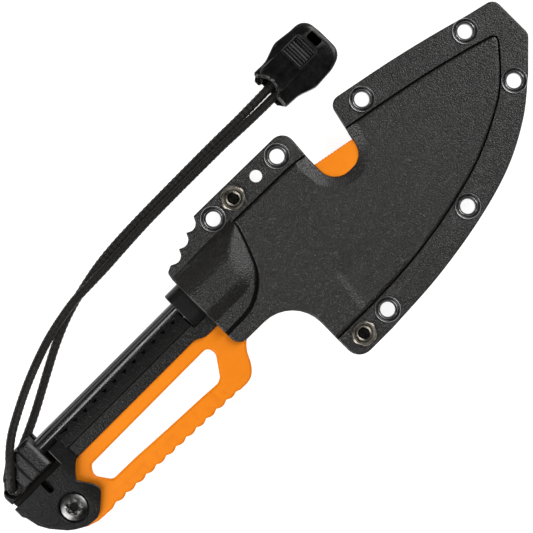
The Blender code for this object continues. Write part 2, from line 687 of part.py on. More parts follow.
def rod_grip():
    """The rod's handle: a thick socket with three wedge ribs and a thinner tab for the lanyard."""
    made = slab("rod_grip", grip_outline(), -GRIP_TAB_HALF, GRIP_TAB_HALF, FIRE_ROD, HANDLE_PLASTIC)
    for k, (x0, x1) in enumerate(((-142.4, -137.5), (-137.7, -132.6), (-132.8, -125.9))):
        for side in (1, -1):
            low = side * 1.0
            section = [(x0, low), (x1, low), (x1, side * GRIP_HALF), (x0, side * (GRIP_TAB_HALF + 0.5))]
            inset = 2 * NUDGE * k
            ends = [[(x, y, z) for x, z in section] for y in (5.2 + inset, 19.6 - inset)]
            join(made, loft(f"grip_rib_{k + 1}{'f' if side > 0 else 'b'}", ends, FIRE_ROD))
    bore = cylinder("grip_bore", (ROD_Y, 0.0), BORE_RADIUS, ROD_START - GAP, -110.0, FIRE_ROD, axis="X")
    hole_corners = [(-150.3, 5.9, 3.2), (-143.2, 5.9, 3.2), (-143.2, 14.7, 3.2), (-150.3, 14.7, 3.2)]
    hole_line = rounded(hole_corners, math.radians(22.5))
    hole = slab("grip_lanyard_hole", hole_line, -CUT, CUT, FIRE_ROD)
    cut(made, bore, hole)
    return made


def lanyard_route():
    """The lanyard's centre line: out of the clamp, round through the grip's hole and back."""
    toward = Vector(TURN_TOWARDS).normalized()
    turn = []
    for k in range(7):
        angle = math.pi - math.pi * k / 6
        place = Vector(TURN_MIDDLE) - toward * (TURN_RADIUS * math.sin(angle))
        turn.append((place.x, place.y, TURN_RADIUS * math.cos(angle)))
    return [*ROUTE_IN, *turn, *ROUTE_OUT]


def lanyard_cord():
    points = even(through(lanyard_route(), 6), 7.2)
    curve = bpy.data.curves.new("lanyard_cord", "CURVE")
    curve.dimensions = "3D"
    curve.bevel_depth = CORD_RADIUS * MM
    curve.bevel_resolution = 2
    curve.use_fill_caps = True
    curve.resolution_u = 1
    spline = curve.splines.new("POLY")
    spline.points.add(len(points) - 1)
    for point, place in zip(spline.points, points):
        point.co = (*(Vector(place) * MM), 1.0)
    return placed("lanyard_cord", curve, FIRE_ROD, CORD_BLACK)


def clamp_outline(inset=0.0):
    """The lanyard clamp's outline, or one that lies inside it."""
    i = inset
    return rounded([
        (55.2 + i, 43.4 + i, 1.5), (63.0, 43.2 + i), (71.0, 40.3 + i, 8.0), (81.0, 41.0 + i, 10.0),
        (89.6 - i, 43.8 + i, 5.0), (89.6 - i, 56.0), (88.4 - i, 65.2 - i, 3.0), (80.0, 65.9 - i, 8.0),
        (71.5, 66.8 - i, 8.0), (63.0, 64.0 - i, 6.0), (56.4 + i, 63.9 - i, 1.5),
    ])


def clamp_half(side, name):
    """Half of the clamp that hides the lanyard's knot."""
    z = CLAMP_Z
    low, high = sorted((z + side * GAP / 2, z + side * CLAMP_HALF))
    made = slab(name, clamp_outline(), low, high, FIRE_ROD, CLAMP_PLASTIC)
    deep = CLAMP_HALF - 1.8
    well = slab(f"{name}_well", clamp_outline(2.2), z - deep, z + deep, FIRE_ROD)
    mouth_line = [(50, 48.0), (60, 48.0), (60, 57.4), (50, 57.4)]
    mouth = slab(f"{name}_mouth", mouth_line, z - 2.4, z + 2.4, FIRE_ROD)
    cut(made, well, mouth)
    if side > 0:
        window_line = rounded([(83.4, 52.6, 0.8), (87.2, 52.6, 0.8), (87.2, 59.2, 0.8), (83.4, 59.2, 0.8)])
        cut(made, slab(f"{name}_window", window_line, z, z + CUT, FIRE_ROD))
    for k in range(8):
        x = 72.0 + 1.42 * k
        low, high = sorted((z + side * (CLAMP_HALF - 0.45), z + side * CUT))
        groove_line = [(x, 51.3), (x + 0.7, 51.3), (x + 0.7, 61.7), (x, 61.7)]
        cut(made, slab(f"{name}_groove_{k + 1}", groove_line, low, high, FIRE_ROD))
    return made


def lanyard_knot():
    """The knot that keeps both ends of the lanyard in the clamp."""
    work = bmesh.new()
    bmesh.ops.create_uvsphere(work, u_segments=16, v_segments=10, radius=1.0)
    mesh = bpy.data.meshes.new("lanyard_knot")
    work.to_mesh(mesh)
    work.free()
    mesh.transform(Matrix.Diagonal((7.2 * MM, 7.6 * MM, 3.9 * MM, 1.0)))
    mesh.transform(Matrix.Translation(Vector((71.6, 53.4, CLAMP_Z)) * MM))
    return placed("lanyard_knot", mesh, FIRE_ROD, CORD_BLACK)


def build_fire_rod():
    cylinder("fire_rod", (ROD_Y, 0.0), ROD_RADIUS, ROD_START, ROD_END, FIRE_ROD, ROD_BLACK, sides=32, axis="X")
    rod_grip()
    lanyard_cord()
    clamp_half(1, "cord_end_front")
    clamp_half(-1, "cord_end_back")
    lanyard_knot()


clear()
PARTS = collection("rigging_knife")
CUTTERS = collection("cutters")
SHEATH_PLASTIC = material("sheath_plastic", (0.035, 0.035, 0.036), 0.55)
HANDLE_PLASTIC = material("handle_plastic", (0.03, 0.03, 0.03), 0.5)
ORANGE_COAT = material("orange_coat", (0.9, 0.3, 0.03), 0.5)
EYELET_METAL = material("eyelet_metal", (0.03, 0.03, 0.03), 0.3, 0.6)
NUT_STEEL = material("nut_steel", (0.08, 0.07, 0.06), 0.4, 0.9)
SCREW_STEEL = material("screw_steel", (0.45, 0.45, 0.45), 0.3, 1.0)
ROD_BLACK = material("rod_black", (0.01, 0.01, 0.01), 0.12)
CORD_BLACK = material("cord_black", (0.025, 0.025, 0.025), 0.85)
CLAMP_PLASTIC = material("clamp_plastic", (0.012, 0.012, 0.012), 0.2)
SHEATH = frame("sheath_frame", at=(-MIDDLE_X, -MIDDLE_Y, LIFT))
KNIFE = frame("knife_slide", SHEATH)
FIRE_ROD = frame("rod_slide", KNIFE)
build_sheath()
build_knife()
build_fire_rod()
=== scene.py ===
"""Looks of the sheathed knife: detailed pieces, procedural materials, soft light and the camera.

Lengths are in millimetres in the knife's own frame: X runs along the knife towards its tip, Y towards
its spine and Z out of its side. The frame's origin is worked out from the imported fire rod.
"""

import math

import bmesh
import bpy
import numpy as np
from mathutils import Matrix, Vector
from mathutils.geometry import delaunay_2d_cdt
from mathutils.kdtree import KDTree


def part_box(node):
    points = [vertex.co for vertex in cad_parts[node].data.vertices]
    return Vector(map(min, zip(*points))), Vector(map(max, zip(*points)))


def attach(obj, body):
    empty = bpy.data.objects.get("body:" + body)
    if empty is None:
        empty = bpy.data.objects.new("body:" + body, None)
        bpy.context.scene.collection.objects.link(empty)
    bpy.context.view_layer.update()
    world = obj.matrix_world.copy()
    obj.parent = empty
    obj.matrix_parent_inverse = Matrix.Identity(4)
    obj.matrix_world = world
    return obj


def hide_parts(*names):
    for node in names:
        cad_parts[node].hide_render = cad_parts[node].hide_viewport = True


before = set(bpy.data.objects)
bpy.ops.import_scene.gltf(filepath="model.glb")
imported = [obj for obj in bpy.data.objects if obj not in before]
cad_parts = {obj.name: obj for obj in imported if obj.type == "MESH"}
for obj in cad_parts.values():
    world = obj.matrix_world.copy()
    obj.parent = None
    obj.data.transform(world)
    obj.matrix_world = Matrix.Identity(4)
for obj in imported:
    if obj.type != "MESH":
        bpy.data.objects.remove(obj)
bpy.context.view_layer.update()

MM = 0.001
ROD_START = -136.0
ROD_Y = 14.2
rod_low, rod_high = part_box("fire_rod")
ORIGIN = Vector((
    rod_low.x - ROD_START * MM,
    (rod_low.y + rod_high.y) / 2 - ROD_Y * MM,
    (rod_low.z + rod_high.z) / 2,
))


def local_box(node):
    """A CAD node's corners in the knife's frame, in millimetres."""
    low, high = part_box(node)
    return (low - ORIGIN) / MM, (high - ORIGIN) / MM


def centre(node):
    low, high = local_box(node)
    return (low + high) / 2


# Heights
GAP = 0.3
FLOOR = local_box("belt_loop")[0].z
BLADE_HALF = 2.0
EDGE_HALF = 0.15
SCALE_LOW = BLADE_HALF + GAP
SCALE_FLAT = 4.2
SCALE_RIB = 6.0
POMMEL_TOP = 6.2
SHELL_LOW = GAP / 2
RIM_TOP = 2.35
POCKET_TOP = 4.4
LEDGE_TOP = 5.9
BULGE_TOP = 8.6
SLOT_HALF = 2.4
MOUTH_X = -33.2
THROAT_END = -14.0

# Round things
ROD_RADIUS = 4.0
EYELET_BORE = 3.25
EYELET_BARREL = 3.75
EYELET_FLANGE = 5.75
SPARE_HOLE = (24.6, 31.2)
SPARE_RADIUS = 2.75
LOOP_SHAFT = 2.0
CORD_RADIUS = 1.9

EYELETS = [tuple(centre(f"eyelet_{k}")[:2]) for k in range(1, 8)]
LOOP_SCREWS = [tuple(centre(f"loop_nut_{which}")[:2]) for which in ("upper", "lower")]
POMMEL_SCREW = tuple(centre("pommel_screw")[:2])
SCALE_PIN = tuple(centre("scale_pin")[:2])
COLLAR_PINS = [tuple(centre(f"collar_pin_{k}")[:2]) for k in (1, 2)]
CLAMP_Z = local_box("cord_end_back")[0].z + 6.2
CORD_REST = FLOOR + CORD_RADIUS + 0.05

# How finely round things are divided
ROUND_SIDES = 64
TUBE_SIDES = 24


# ---------------------------------------------------------------- lines


def rounded(corners, step=math.radians(12)):
    """The corners' outline, with an arc of the third number's radius at each corner that has one."""
    points = []
    for i, corner in enumerate(corners):
        here = Vector(corner[:2])
        if len(corner) < 3:
            points.append(tuple(here))
            continue
        back = (Vector(corners[i - 1][:2]) - here).normalized()
        ahead = (Vector(corners[(i + 1) % len(corners)][:2]) - here).normalized()
        turn = math.pi - back.angle(ahead)
        run = corner[2] * math.tan(turn / 2)
        middle = here + (back + ahead).normalized() * (corner[2] / math.cos(turn / 2))
        first = here + back * run - middle
        side = 1 if back.cross(ahead) < 0 else -1
        count = max(2, math.ceil(turn / step))
        for k in range(count + 1):
            spin = Matrix.Rotation(side * turn * k / count, 2)
            points.append(tuple(middle + spin @ first))
    return points


def through(points, per_span=6):
    """A smooth curve through the points, with its ends."""
    p = [Vector(q) for q in points]
    p = [2 * p[0] - p[1], *p, 2 * p[-1] - p[-2]]
    found = []
    for i in range(1, len(p) - 2):
        for k in range(per_span):
            t = k / per_span
            a = 2 * p[i] + (p[i + 1] - p[i - 1]) * t
            b = (2 * p[i - 1] - 5 * p[i] + 4 * p[i + 1] - p[i + 2]) * t * t
            c = (3 * p[i] - p[i - 1] - 3 * p[i + 1] + p[i + 2]) * t**3
            found.append(tuple((a + b + c) / 2))
    found.append(tuple(p[-2]))
    return found


def even(points, spacing):
    """Points about that far apart along a line of points."""
    line = np.array(points, float)
    steps = np.linalg.norm(np.diff(line, axis=0), axis=1)
    along = np.concatenate([[0.0], np.cumsum(steps)])
    at = np.linspace(0.0, along[-1], round(along[-1] / spacing) + 1)
    columns = [np.interp(at, along, column) for column in line.T]
    return np.stack(columns, axis=1)


def even_closed(loop, spacing=1.6):
    """The loop with its long stretches split."""
    found = []
    for a, b in zip(loop, loop[1:] + loop[:1]):
        count = max(1, round(math.dist(a, b) / spacing))
        for k in range(count):
            found.append((a[0] + (b[0] - a[0]) * k / count, a[1] + (b[1] - a[1]) * k / count))
    return [q for k, q in enumerate(found) if math.dist(q, found[k - 1]) > 0.05]


def split(line, spacing=1.2):
    return [tuple(q) for q in even(line, spacing)]


def circle(at, radius, count):
    angles = [math.tau * k / count for k in range(count)]
    return [(at[0] + radius * math.cos(a), at[1] + radius * math.sin(a)) for a in angles]


def box_line(x0, y0, x1, y1, radius):
    return rounded([(x0, y0, radius), (x1, y0, radius), (x1, y1, radius), (x0, y1, radius)])


def shifted(line, distance, closed):
    """The line moved to its left side by that distance."""
    p = np.array(line, float)
    before = np.roll(p, 1, axis=0)
    after = np.roll(p, -1, axis=0)
    if not closed:
        before[0] = 2 * p[0] - p[1]
        after[-1] = 2 * p[-1] - p[-2]
    back = p - before
    ahead = after - p
    back /= np.maximum(np.linalg.norm(back, axis=1), 1e-9)[:, None]
    ahead /= np.maximum(np.linalg.norm(ahead, axis=1), 1e-9)[:, None]
    along = back + ahead
    length = np.maximum(np.linalg.norm(along, axis=1), 0.8)
    normal = np.stack([-along[:, 1], along[:, 0]], axis=1) / length[:, None]
    half = np.maximum(length / 2, 0.5)
    return [tuple(q) for q in p + normal * distance / half[:, None]]


def gap(line, x, y, closed=False):
    """How far each point is from a line of points."""
    a = np.array(line, float)
    b = np.roll(a, -1, axis=0)
    if not closed:
        a, b = a[:-1], b[:-1]
    best = np.full(len(x), 1e9)
    for (ax, ay), (bx, by) in zip(a, b):
        dx, dy = bx - ax, by - ay
        share = unit(((x - ax) * dx + (y - ay) * dy) / max(dx * dx + dy * dy, 1e-12))
        best = np.minimum(best, np.hypot(x - ax - share * dx, y - ay - share * dy))
    return best


def within(loop, x, y):
    """Which points lie inside a closed line."""
    a = np.array(loop, float)
    b = np.roll(a, -1, axis=0)
    found = np.zeros(len(x), bool)
    for (ax, ay), (bx, by) in zip(a, b):
        if ay == by:
            continue
        crosses = (ay > y) != (by > y)
        found ^= crosses & (x < ax + (y - ay) * (bx - ax) / (by - ay))
    return found


def depth(loop, x, y):
    """How far each point lies inside a closed line, negative outside it."""
    away = gap(loop, x, y, closed=True)
    return np.where(within(loop, x, y), away, -away)


def unit(x):
    """x, kept between 0 and 1."""
    return np.clip(x, 0.0, 1.0)


def soft(x, low, high):
    """0 below low, 1 above high and a smooth rise between."""
    t = unit((x - low) / (high - low))
    return t * t * (3 - 2 * t)


def edge_drop(away, radius):
    """How much a rounded edge of that radius lowers a face, by the distance from the edge."""
    short = np.clip(radius - away, 0.0, radius)
    return radius - np.sqrt(radius * radius - short * short)


# ---------------------------------------------------------------- meshes


def mesh_of(name, points, faces):
    """A mesh in the part's frame from points in the knife's frame."""
    mesh = bpy.data.meshes.new(name)
    mesh.from_pydata((np.array(points, float) * MM + np.array(ORIGIN)).tolist(), [], faces)
    mesh.polygons.foreach_set("use_smooth", [True] * len(mesh.polygons))
    mesh.update()
    return mesh


def linked(name, data):
    """A new object in the scene."""
    made = bpy.data.objects.new(name, data)
    bpy.context.scene.collection.objects.link(made)
    return made


def piece(mesh, finish, body, *nodes, sharp=35):
    """A shown piece on a body that stands for these CAD nodes."""
    made = linked(mesh.name, mesh)
    mesh.materials.append(finish)
    mesh.set_sharp_from_angle(angle=math.radians(sharp))
    weigh = made.modifiers.new("Even normals", "WEIGHTED_NORMAL")
    weigh.keep_sharp = True
    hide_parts(*nodes)
    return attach(made, body)


def painted(mesh, finish, chosen):
    """Gives another finish to the faces whose middles, in the knife's frame, are chosen."""
    mesh.materials.append(finish)
    middles = np.array([tuple((face.center - ORIGIN) / MM) for face in mesh.polygons])
    for k in np.flatnonzero(chosen(*middles.T)):
        mesh.polygons[int(k)].material_index = len(mesh.materials) - 1


def mirrored(name, mesh, middle=0.0):
    """The mesh on the other side of that height."""
    made = mesh.copy()
    made.name = name
    plane = ORIGIN.z + middle * MM
    made.transform(Matrix.Translation((0, 0, 2 * plane)) @ Matrix.Diagonal((1, 1, -1, 1)))
    made.flip_normals()
    return made


def filling(loops, lines, spacing, area=None):
    """Points of a hexagonal grid inside the first loop, clear of every line."""
    edge = np.array([q for line in loops + lines for q in line])
    tree = KDTree(len(edge))
    for i, (x, y) in enumerate(edge):
        tree.insert((x, y, 0.0), i)
    tree.balance()
    low, high = np.array(loops[0]).min(0), np.array(loops[0]).max(0)
    if area:
        low, high = np.maximum(low, area[:2]), np.minimum(high, area[2:])
    rows = np.arange(low[1], high[1], spacing * 0.866)
    found = []
    for k, y in enumerate(rows):
        for x in np.arange(low[0] + (k % 2) * spacing / 2, high[0], spacing):
            if tree.find((x, y, 0.0))[2] > spacing * 0.55:
                found.append((x, y))
    if not found:
        return found
    x, y = np.array(found).T
    return [found[i] for i in np.flatnonzero(within(loops[0], x, y))]


def plate(name, loops, creases, top, bottom, spacing=4.0, fine=()):
    """A closed body over an outline with holes, between the heights top(x, y) and bottom(x, y).

    The creases are lines that the faces follow, and fine gives (spacing, x0, y0, x1, y1) for areas
    that are curved."""
    points = []
    edges = []
    for number, line in enumerate(loops + creases):
        start = len(points)
        points += line
        edges += [(start + k, start + k + 1) for k in range(len(line) - 1)]
        if number < len(loops):
            edges.append((len(points) - 1, start))
    extra = [filling(loops, creases, near, area) for near, *area in fine]
    for cloud in extra:
        points += cloud
    points += filling(loops, creases + [c for c in extra if c], spacing)
    flat, _, triangles, *_ = delaunay_2d_cdt([Vector(q) for q in points], edges, [], 0, 1e-4)
    flat = np.array([tuple(q) for q in flat])
    triangles = np.array(triangles)
    x, y = flat[triangles].mean(1).T
    inside = np.zeros(len(x), bool)
    for loop in loops:
        inside ^= within(loop, x, y)
    return closed_sheets(name, flat, triangles[inside], top, bottom)


def closed_sheets(name, flat, triangles, top, bottom):
    """The triangles at both heights, with walls between their edges."""
    used, triangles = np.unique(triangles, return_inverse=True)
    triangles = triangles.reshape(-1, 3)
    x, y = flat[used].T
    count = len(used)
    upper = np.stack([x, y, top(x, y)], axis=1)
    lower = np.stack([x, y, bottom(x, y)], axis=1)
    directed = {(a, b) for t in triangles.tolist() for a, b in zip(t, t[1:] + t[:1])}
    walls = [[b, a, a + count, b + count] for a, b in directed if (b, a) not in directed]
    faces = triangles.tolist() + (triangles[:, ::-1] + count).tolist() + sorted(walls)
    return mesh_of(name, np.concatenate([upper, lower]), faces)


def beside(line, *offsets):
    """Copies of an open line at those distances to its left, as creases."""
    return [shifted(line, distance, False) for distance in offsets]


def around(loop, *offsets):
    """Copies of a closed line, from first to first, at those distances to its left, as creases."""
    copies = [shifted(loop, distance, True) for distance in offsets]
    return [[*line, line[0]] for line in copies]


def loft(name, rings, cyclic=False):
    """A skin over rings of equally many points, closed at its ends or round on itself."""
    count = len(rings[0])
    points = [p for ring in rings for p in ring]
    faces = []
    spans = len(rings) if cyclic else len(rings) - 1
    for i in range(spans):
        a, b = i * count, (i + 1) % len(rings) * count
        for k in range(count):
            n = (k + 1) % count
            faces.append((a + k, a + n, b + n, b + k))
    if not cyclic:
        faces.append(tuple(range(count))[::-1])
        faces.append(tuple(range(len(points) - count, len(points))))
    return outward(mesh_of(name, points, faces))


def outward(mesh):
    """The closed mesh with its faces turned outwards."""
    work = bmesh.new()
    work.from_mesh(mesh)
    if work.calc_volume(signed=True) < 0:
        mesh.flip_normals()
    work.free()
    return mesh


def turned(name, profile, at, cyclic=False, steps=ROUND_SIDES):
    """A profile of (radius, height), upwards along the outside, turned about a vertical axis."""
    rings = [[(*q, z) for q in circle(at, r, steps)] for r, z in profile]
    return loft(name, rings, cyclic)


def carved(name, mesh, *cutters):
    """The mesh with the cutters' meshes taken off it."""
    body = linked("carving", mesh)
    tools = [linked("cutter", cutter) for cutter in cutters]
    for tool in tools:
        step = body.modifiers.new("Cut", "BOOLEAN")
        step.operation = "DIFFERENCE"
        step.solver = "EXACT"
        step.object = tool
    graph = bpy.context.evaluated_depsgraph_get()
    found = bpy.data.meshes.new_from_object(body.evaluated_get(graph))
    found.name = name
    work = bmesh.new()
    work.from_mesh(found)
    bmesh.ops.remove_doubles(work, verts=work.verts, dist=0.002 * MM)
    bmesh.ops.dissolve_degenerate(work, edges=work.edges, dist=0.001 * MM)
    work.to_mesh(found)
    work.free()
    for made in (body, *tools):
        bpy.data.objects.remove(made)
    return found


def tube(name, path, radius, swell, cyclic=False):
    """A tube along a path of evenly spaced points; swell(turn, along) raises its surface."""
    line = np.array(path, float)
    if cyclic:
        ahead = np.roll(line, -1, axis=0) - np.roll(line, 1, axis=0)
    else:
        ahead = np.gradient(line, axis=0)
    ahead /= np.linalg.norm(ahead, axis=1)[:, None]
    steps = np.linalg.norm(np.diff(line, axis=0), axis=1)
    along = np.concatenate([[0.0], np.cumsum(steps)])
    side = Vector((0.0, 0.0, 1.0)).cross(Vector(ahead[0])).normalized()
    turns = np.arange(TUBE_SIDES) * math.tau / TUBE_SIDES
    rings = []
    for middle, forward, far in zip(line, ahead, along):
        forward = Vector(forward)
        side = (side - forward * side.dot(forward)).normalized()
        up = forward.cross(side)
        grow = radius + swell(turns, far)
        ring = [
            tuple(Vector(middle) + (side * math.cos(a) + up * math.sin(a)) * r) for a, r in zip(turns, grow)
        ]
        rings.append(ring)
    return loft(name, rings, cyclic)


# ---------------------------------------------------------------- materials


def fill(tree, socket, value):
    """Links a socket to another one, or sets its value."""
    if isinstance(value, bpy.types.NodeSocket):
        tree.links.new(value, socket)
    else:
        socket.default_value = value


def added(tree, kind, **links):
    """A new node of that kind, with sockets set or linked."""
    node = tree.nodes.new(f"ShaderNode{kind}")
    for socket, value in links.items():
        fill(tree, node.inputs[socket.replace("_", " ")], value)
    return node


class Nodes:
    """A Principled material whose patterns are laid out in millimetres of the part's frame."""

    def __init__(self, name, roughness, metallic=0.0, coat=0.0, specular=0.5, sheen=0.0):
        self.material = bpy.data.materials.new(name)
        self.material.use_nodes = True
        self.tree = self.material.node_tree
        self.shader = self.tree.nodes["Principled BSDF"]
        self.place = self.add("TexCoord").outputs["Object"]
        self.normal = None
        for socket, value in (
            ("Roughness", roughness),
            ("Metallic", metallic),
            ("Coat Weight", coat),
            ("Coat Roughness", 0.08),
            ("Specular IOR Level", specular),
            ("Sheen Weight", sheen),
        ):
            self.shader.inputs[socket].default_value = value

    def add(self, kind, **links):
        return added(self.tree, kind, **links)

    def stretched(self, scale, turn=0.0):
        """The place, stretched for brushed or scratched patterns."""
        return self.add("Mapping", Vector=self.place, Scale=scale, Rotation=(0.0, 0.0, turn)).outputs[0]

    def noise(self, size, detail=3.0, place=None):
        """Noise whose patches are about that many millimetres across."""
        where = place or self.place
        return self.add("TexNoise", Vector=where, Scale=1.0 / (size * MM), Detail=detail).outputs[0]

    def ramp(self, factor, *stops):
        """A colour ramp of (position, colour) stops."""
        node = self.add("ValToRGB", Fac=factor)
        elements = node.color_ramp.elements
        for element, (position, colour) in zip(elements, stops):
            element.position = position
            element.color = (*colour, 1.0)
        for position, colour in stops[2:]:
            elements.new(position).color = (*colour, 1.0)
        return node.outputs["Color"]

    def mixed(self, factor, first, second):
        """One colour blended into another."""
        node = self.tree.nodes.new("ShaderNodeMix")
        node.data_type = "RGBA"
        fill(self.tree, node.inputs[0], factor)
        fill(self.tree, node.inputs[6], first)
        fill(self.tree, node.inputs[7], (*second, 1.0))
        return node.outputs[2]

    def mapped(self, value, low, high, start=0.0, end=1.0):
        """The value's range from low to high, stretched to that from start to end."""
        ends = {"From_Min": low, "From_Max": high, "To_Min": start, "To_Max": end}
        return self.add("MapRange", Value=value, **ends).outputs[0]

    def spread(self, factor, low, high):
        """The factor's middle range, stretched between two values."""
        return self.mapped(factor, 0.3, 0.7, low, high)

    def edges(self, low, high):
        """1 on sharp outer edges and 0 on flat faces."""
        return self.mapped(self.add("NewGeometry").outputs["Pointiness"], low, high)

    def bump(self, height, distance, strength=1.0):
        """Adds a bump of that height, in millimetres, to those before it."""
        node = self.add("Bump", Height=height, Distance=distance * MM, Strength=strength)
        if self.normal:
            self.tree.links.new(self.normal, node.inputs["Normal"])
        self.normal = node.outputs["Normal"]

    def done(self, colour, roughness=None):
        """Links the colour, roughness and bumps, and gives the material."""
        self.tree.links.new(colour, self.shader.inputs["Base Color"])
        if roughness:
            self.tree.links.new(roughness, self.shader.inputs["Roughness"])
        if self.normal:
            self.tree.links.new(self.normal, self.shader.inputs["Normal"])
        return self.material


GRAIN = 0.62  # across a pebble of the moulded plastic


def moulded(name, dark, light, low, high, depth_mm, worn, specular):
    """Moulded black plastic with a pebble grain, faint flow patches, fine scratches and worn edges."""
    n = Nodes(name, (low + high) / 2, specular=specular)
    patches = n.noise(22.0, 4.0)
    speck = n.noise(GRAIN, 1.0)
    base = n.ramp(patches, (0.3, dark), (0.7, light))
    base = n.mixed(n.mapped(speck, 0.46, 0.68), base, tuple(2.4 * c for c in light))
    marks = n.noise(1.2, 3.0, n.stretched((0.06, 1.0, 1.0), 0.35))
    base = n.mixed(n.mapped(marks, 0.7, 0.8), base, worn)
    base = n.mixed(n.edges(0.54, 0.64), base, worn)
    n.bump(speck, depth_mm)
    n.bump(n.noise(0.8 * GRAIN, 2.0), 0.6 * depth_mm)
    n.bump(marks, 0.02)
    return n.done(base, n.spread(speck, high, low))


def orange_coat():
    """Powder coat: an orange peel skin, faint tone changes and painted shade that darkens its edges."""
    n = Nodes("orange_coat_look", 0.42, specular=0.2)
    base = n.ramp(n.noise(35.0, 3.0), (0.3, (0.79, 0.212, 0.004)), (0.7, (0.85, 0.24, 0.006)))
    base = n.mixed(n.spread(n.noise(0.9, 2.0), 0.0, 0.14), base, (0.68, 0.13, 0.003))
    # Painted shade: the rounded edges are mixed to a darker red-orange, as if falling into shade
    base = n.mixed(n.edges(0.53, 0.6), base, (0.62, 0.1, 0.003))
    n.bump(n.noise(0.9, 2.0), 0.035)
    n.bump(n.noise(0.25, 2.0), 0.012)
    return n.done(base, n.spread(n.noise(1.4, 3.0), 0.34, 0.52))


def rod_black():
    """The rod's glossy black lacquer, with long fine scratches and a few dull smears."""
    n = Nodes("rod_black_look", 0.12, coat=0.6, specular=0.5)
    long_marks = n.noise(0.35, 4.0, n.stretched((0.02, 1.0, 1.0)))
    base = n.ramp(long_marks, (0.45, (0.006, 0.006, 0.007)), (0.75, (0.02, 0.02, 0.021)))
    n.bump(long_marks, 0.012)
    n.bump(n.noise(9.0, 2.0), 0.02)
    return n.done(base, n.spread(n.noise(7.0, 4.0), 0.08, 0.22))


def clamp_black():
    """Glossy moulded plastic with faint ripples and handling marks."""
    n = Nodes("clamp_plastic_look", 0.16, specular=0.24)
    base = n.ramp(n.noise(6.0, 4.0), (0.3, (0.003, 0.003, 0.003)), (0.75, (0.009, 0.009, 0.009)))
    base = n.mixed(n.edges(0.52, 0.58), base, (0.05, 0.048, 0.045))
    n.bump(n.noise(3.0, 2.0), 0.05)
    n.bump(n.noise(0.3, 2.0), 0.008)
    return n.done(base, n.spread(n.noise(2.0, 4.0), 0.12, 0.3))


def cord_black():
    """Braided nylon: fine yarn lines across the strands, and a soft sheen."""
    n = Nodes("cord_black_look", 0.6, specular=0.25, sheen=0.02)
    yarn = n.noise(0.16, 2.0)
    base = n.ramp(n.noise(0.8, 3.0), (0.3, (0.0022, 0.0019, 0.0016)), (0.7, (0.007, 0.006, 0.005)))
    base = n.mixed(n.spread(yarn, 0.0, 0.35), base, (0.018, 0.015, 0.012))
    n.bump(yarn, 0.06)
    return n.done(base, n.spread(n.noise(1.1, 2.0), 0.42, 0.7))


def metal(name, dark, light, low, high, at, rings=0.35, metallic=1.0, worn=None):
    """Turned metal: fine rings about an axis through at, soft stains and, if given, paler ridges: worn
    metal, and on the eyelets also a painted highlight.
    """
    n = Nodes(name, (low + high) / 2, metallic=metallic)
    middle = ORIGIN + Vector((*at, 0.0)) * MM
    shifted_place = n.add("Mapping", Vector=n.place, Location=tuple(-middle)).outputs[0]
    wave = n.add("TexWave", Vector=shifted_place, Scale=0.3 / (rings * MM), Distortion=0.6, Detail=2.0)
    wave.wave_type = "RINGS"
    wave.rings_direction = "Z"
    stains = n.noise(2.4, 3.0)
    base = n.ramp(stains, (0.3, dark), (0.7, light))
    if worn:
        base = n.mixed(n.edges(0.52, 0.6), base, worn)
    n.bump(wave.outputs["Fac"], 0.006)
    n.bump(n.noise(1.2, 2.0), 0.008)
    return n.done(base, n.spread(stains, low, high))


def shade_paint():
    """Painted shade: a dark, dull finish for drive holes, the screw's recess, the slot and the web, where
    shade falls.
    """
    n = Nodes("recess_painted_shade", 0.7, metallic=0.4, specular=0.2)
    stains = n.noise(0.6, 3.0)
    base = n.ramp(stains, (0.3, (0.004, 0.004, 0.004)), (0.7, (0.016, 0.015, 0.014)))
    n.bump(stains, 0.02)
    return n.done(base, n.spread(stains, 0.55, 0.8))


def grey(level):
    return (level, level, level)


SHEATH_PLASTIC = moulded(
    "sheath_plastic_look", (0.0036, 0.0033, 0.003), (0.0068, 0.0063, 0.0057), low=0.29, high=0.42,
    depth_mm=0.26, worn=grey(0.04), specular=0.52,
)
HANDLE_PLASTIC = moulded(
    "handle_plastic_look", (0.002, 0.0019, 0.0018), (0.004, 0.0038, 0.0036), low=0.26, high=0.36,
    depth_mm=0.09, worn=grey(0.03), specular=0.36,
)
BAND_PLASTIC = moulded(
    "band_plastic_look", (0.003, 0.0027, 0.0025), (0.0055, 0.005, 0.0046), low=0.3, high=0.42,
    depth_mm=0.2, worn=grey(0.03), specular=0.34,
)
ORANGE_COAT = orange_coat()
ROD_BLACK = rod_black()
CLAMP_BLACK = clamp_black()
CORD_BLACK = cord_black()
# The eyelets' pale ridges are partly wear and partly painted highlight: bright rings round the rolls
EYELET_METAL = metal(
    "eyelet_metal_look", grey(0.03), grey(0.06), 0.25, 0.4, (0.0, 0.0), rings=0.6, metallic=0.8,
    worn=grey(0.5),
)
NUT_STEEL = [
    metal("nut_steel_look", (0.1, 0.088, 0.07), (0.25, 0.225, 0.19), 0.3, 0.45, at, worn=(0.6, 0.56, 0.5))
    for at in LOOP_SCREWS
]
SCREW_STEEL = metal(
    "screw_steel_look", grey(0.06), (0.22, 0.215, 0.21), 0.28, 0.42, POMMEL_SCREW, worn=grey(0.5)
)
GROUND_STEEL = metal("ground_steel_look", grey(0.3), grey(0.45), 0.25, 0.4, (60.0, 400.0), rings=0.5)
# Painted shade for holes, recesses and gaps
PAINTED_SHADE = shade_paint()


# ---------------------------------------------------------------- camera, floor and light


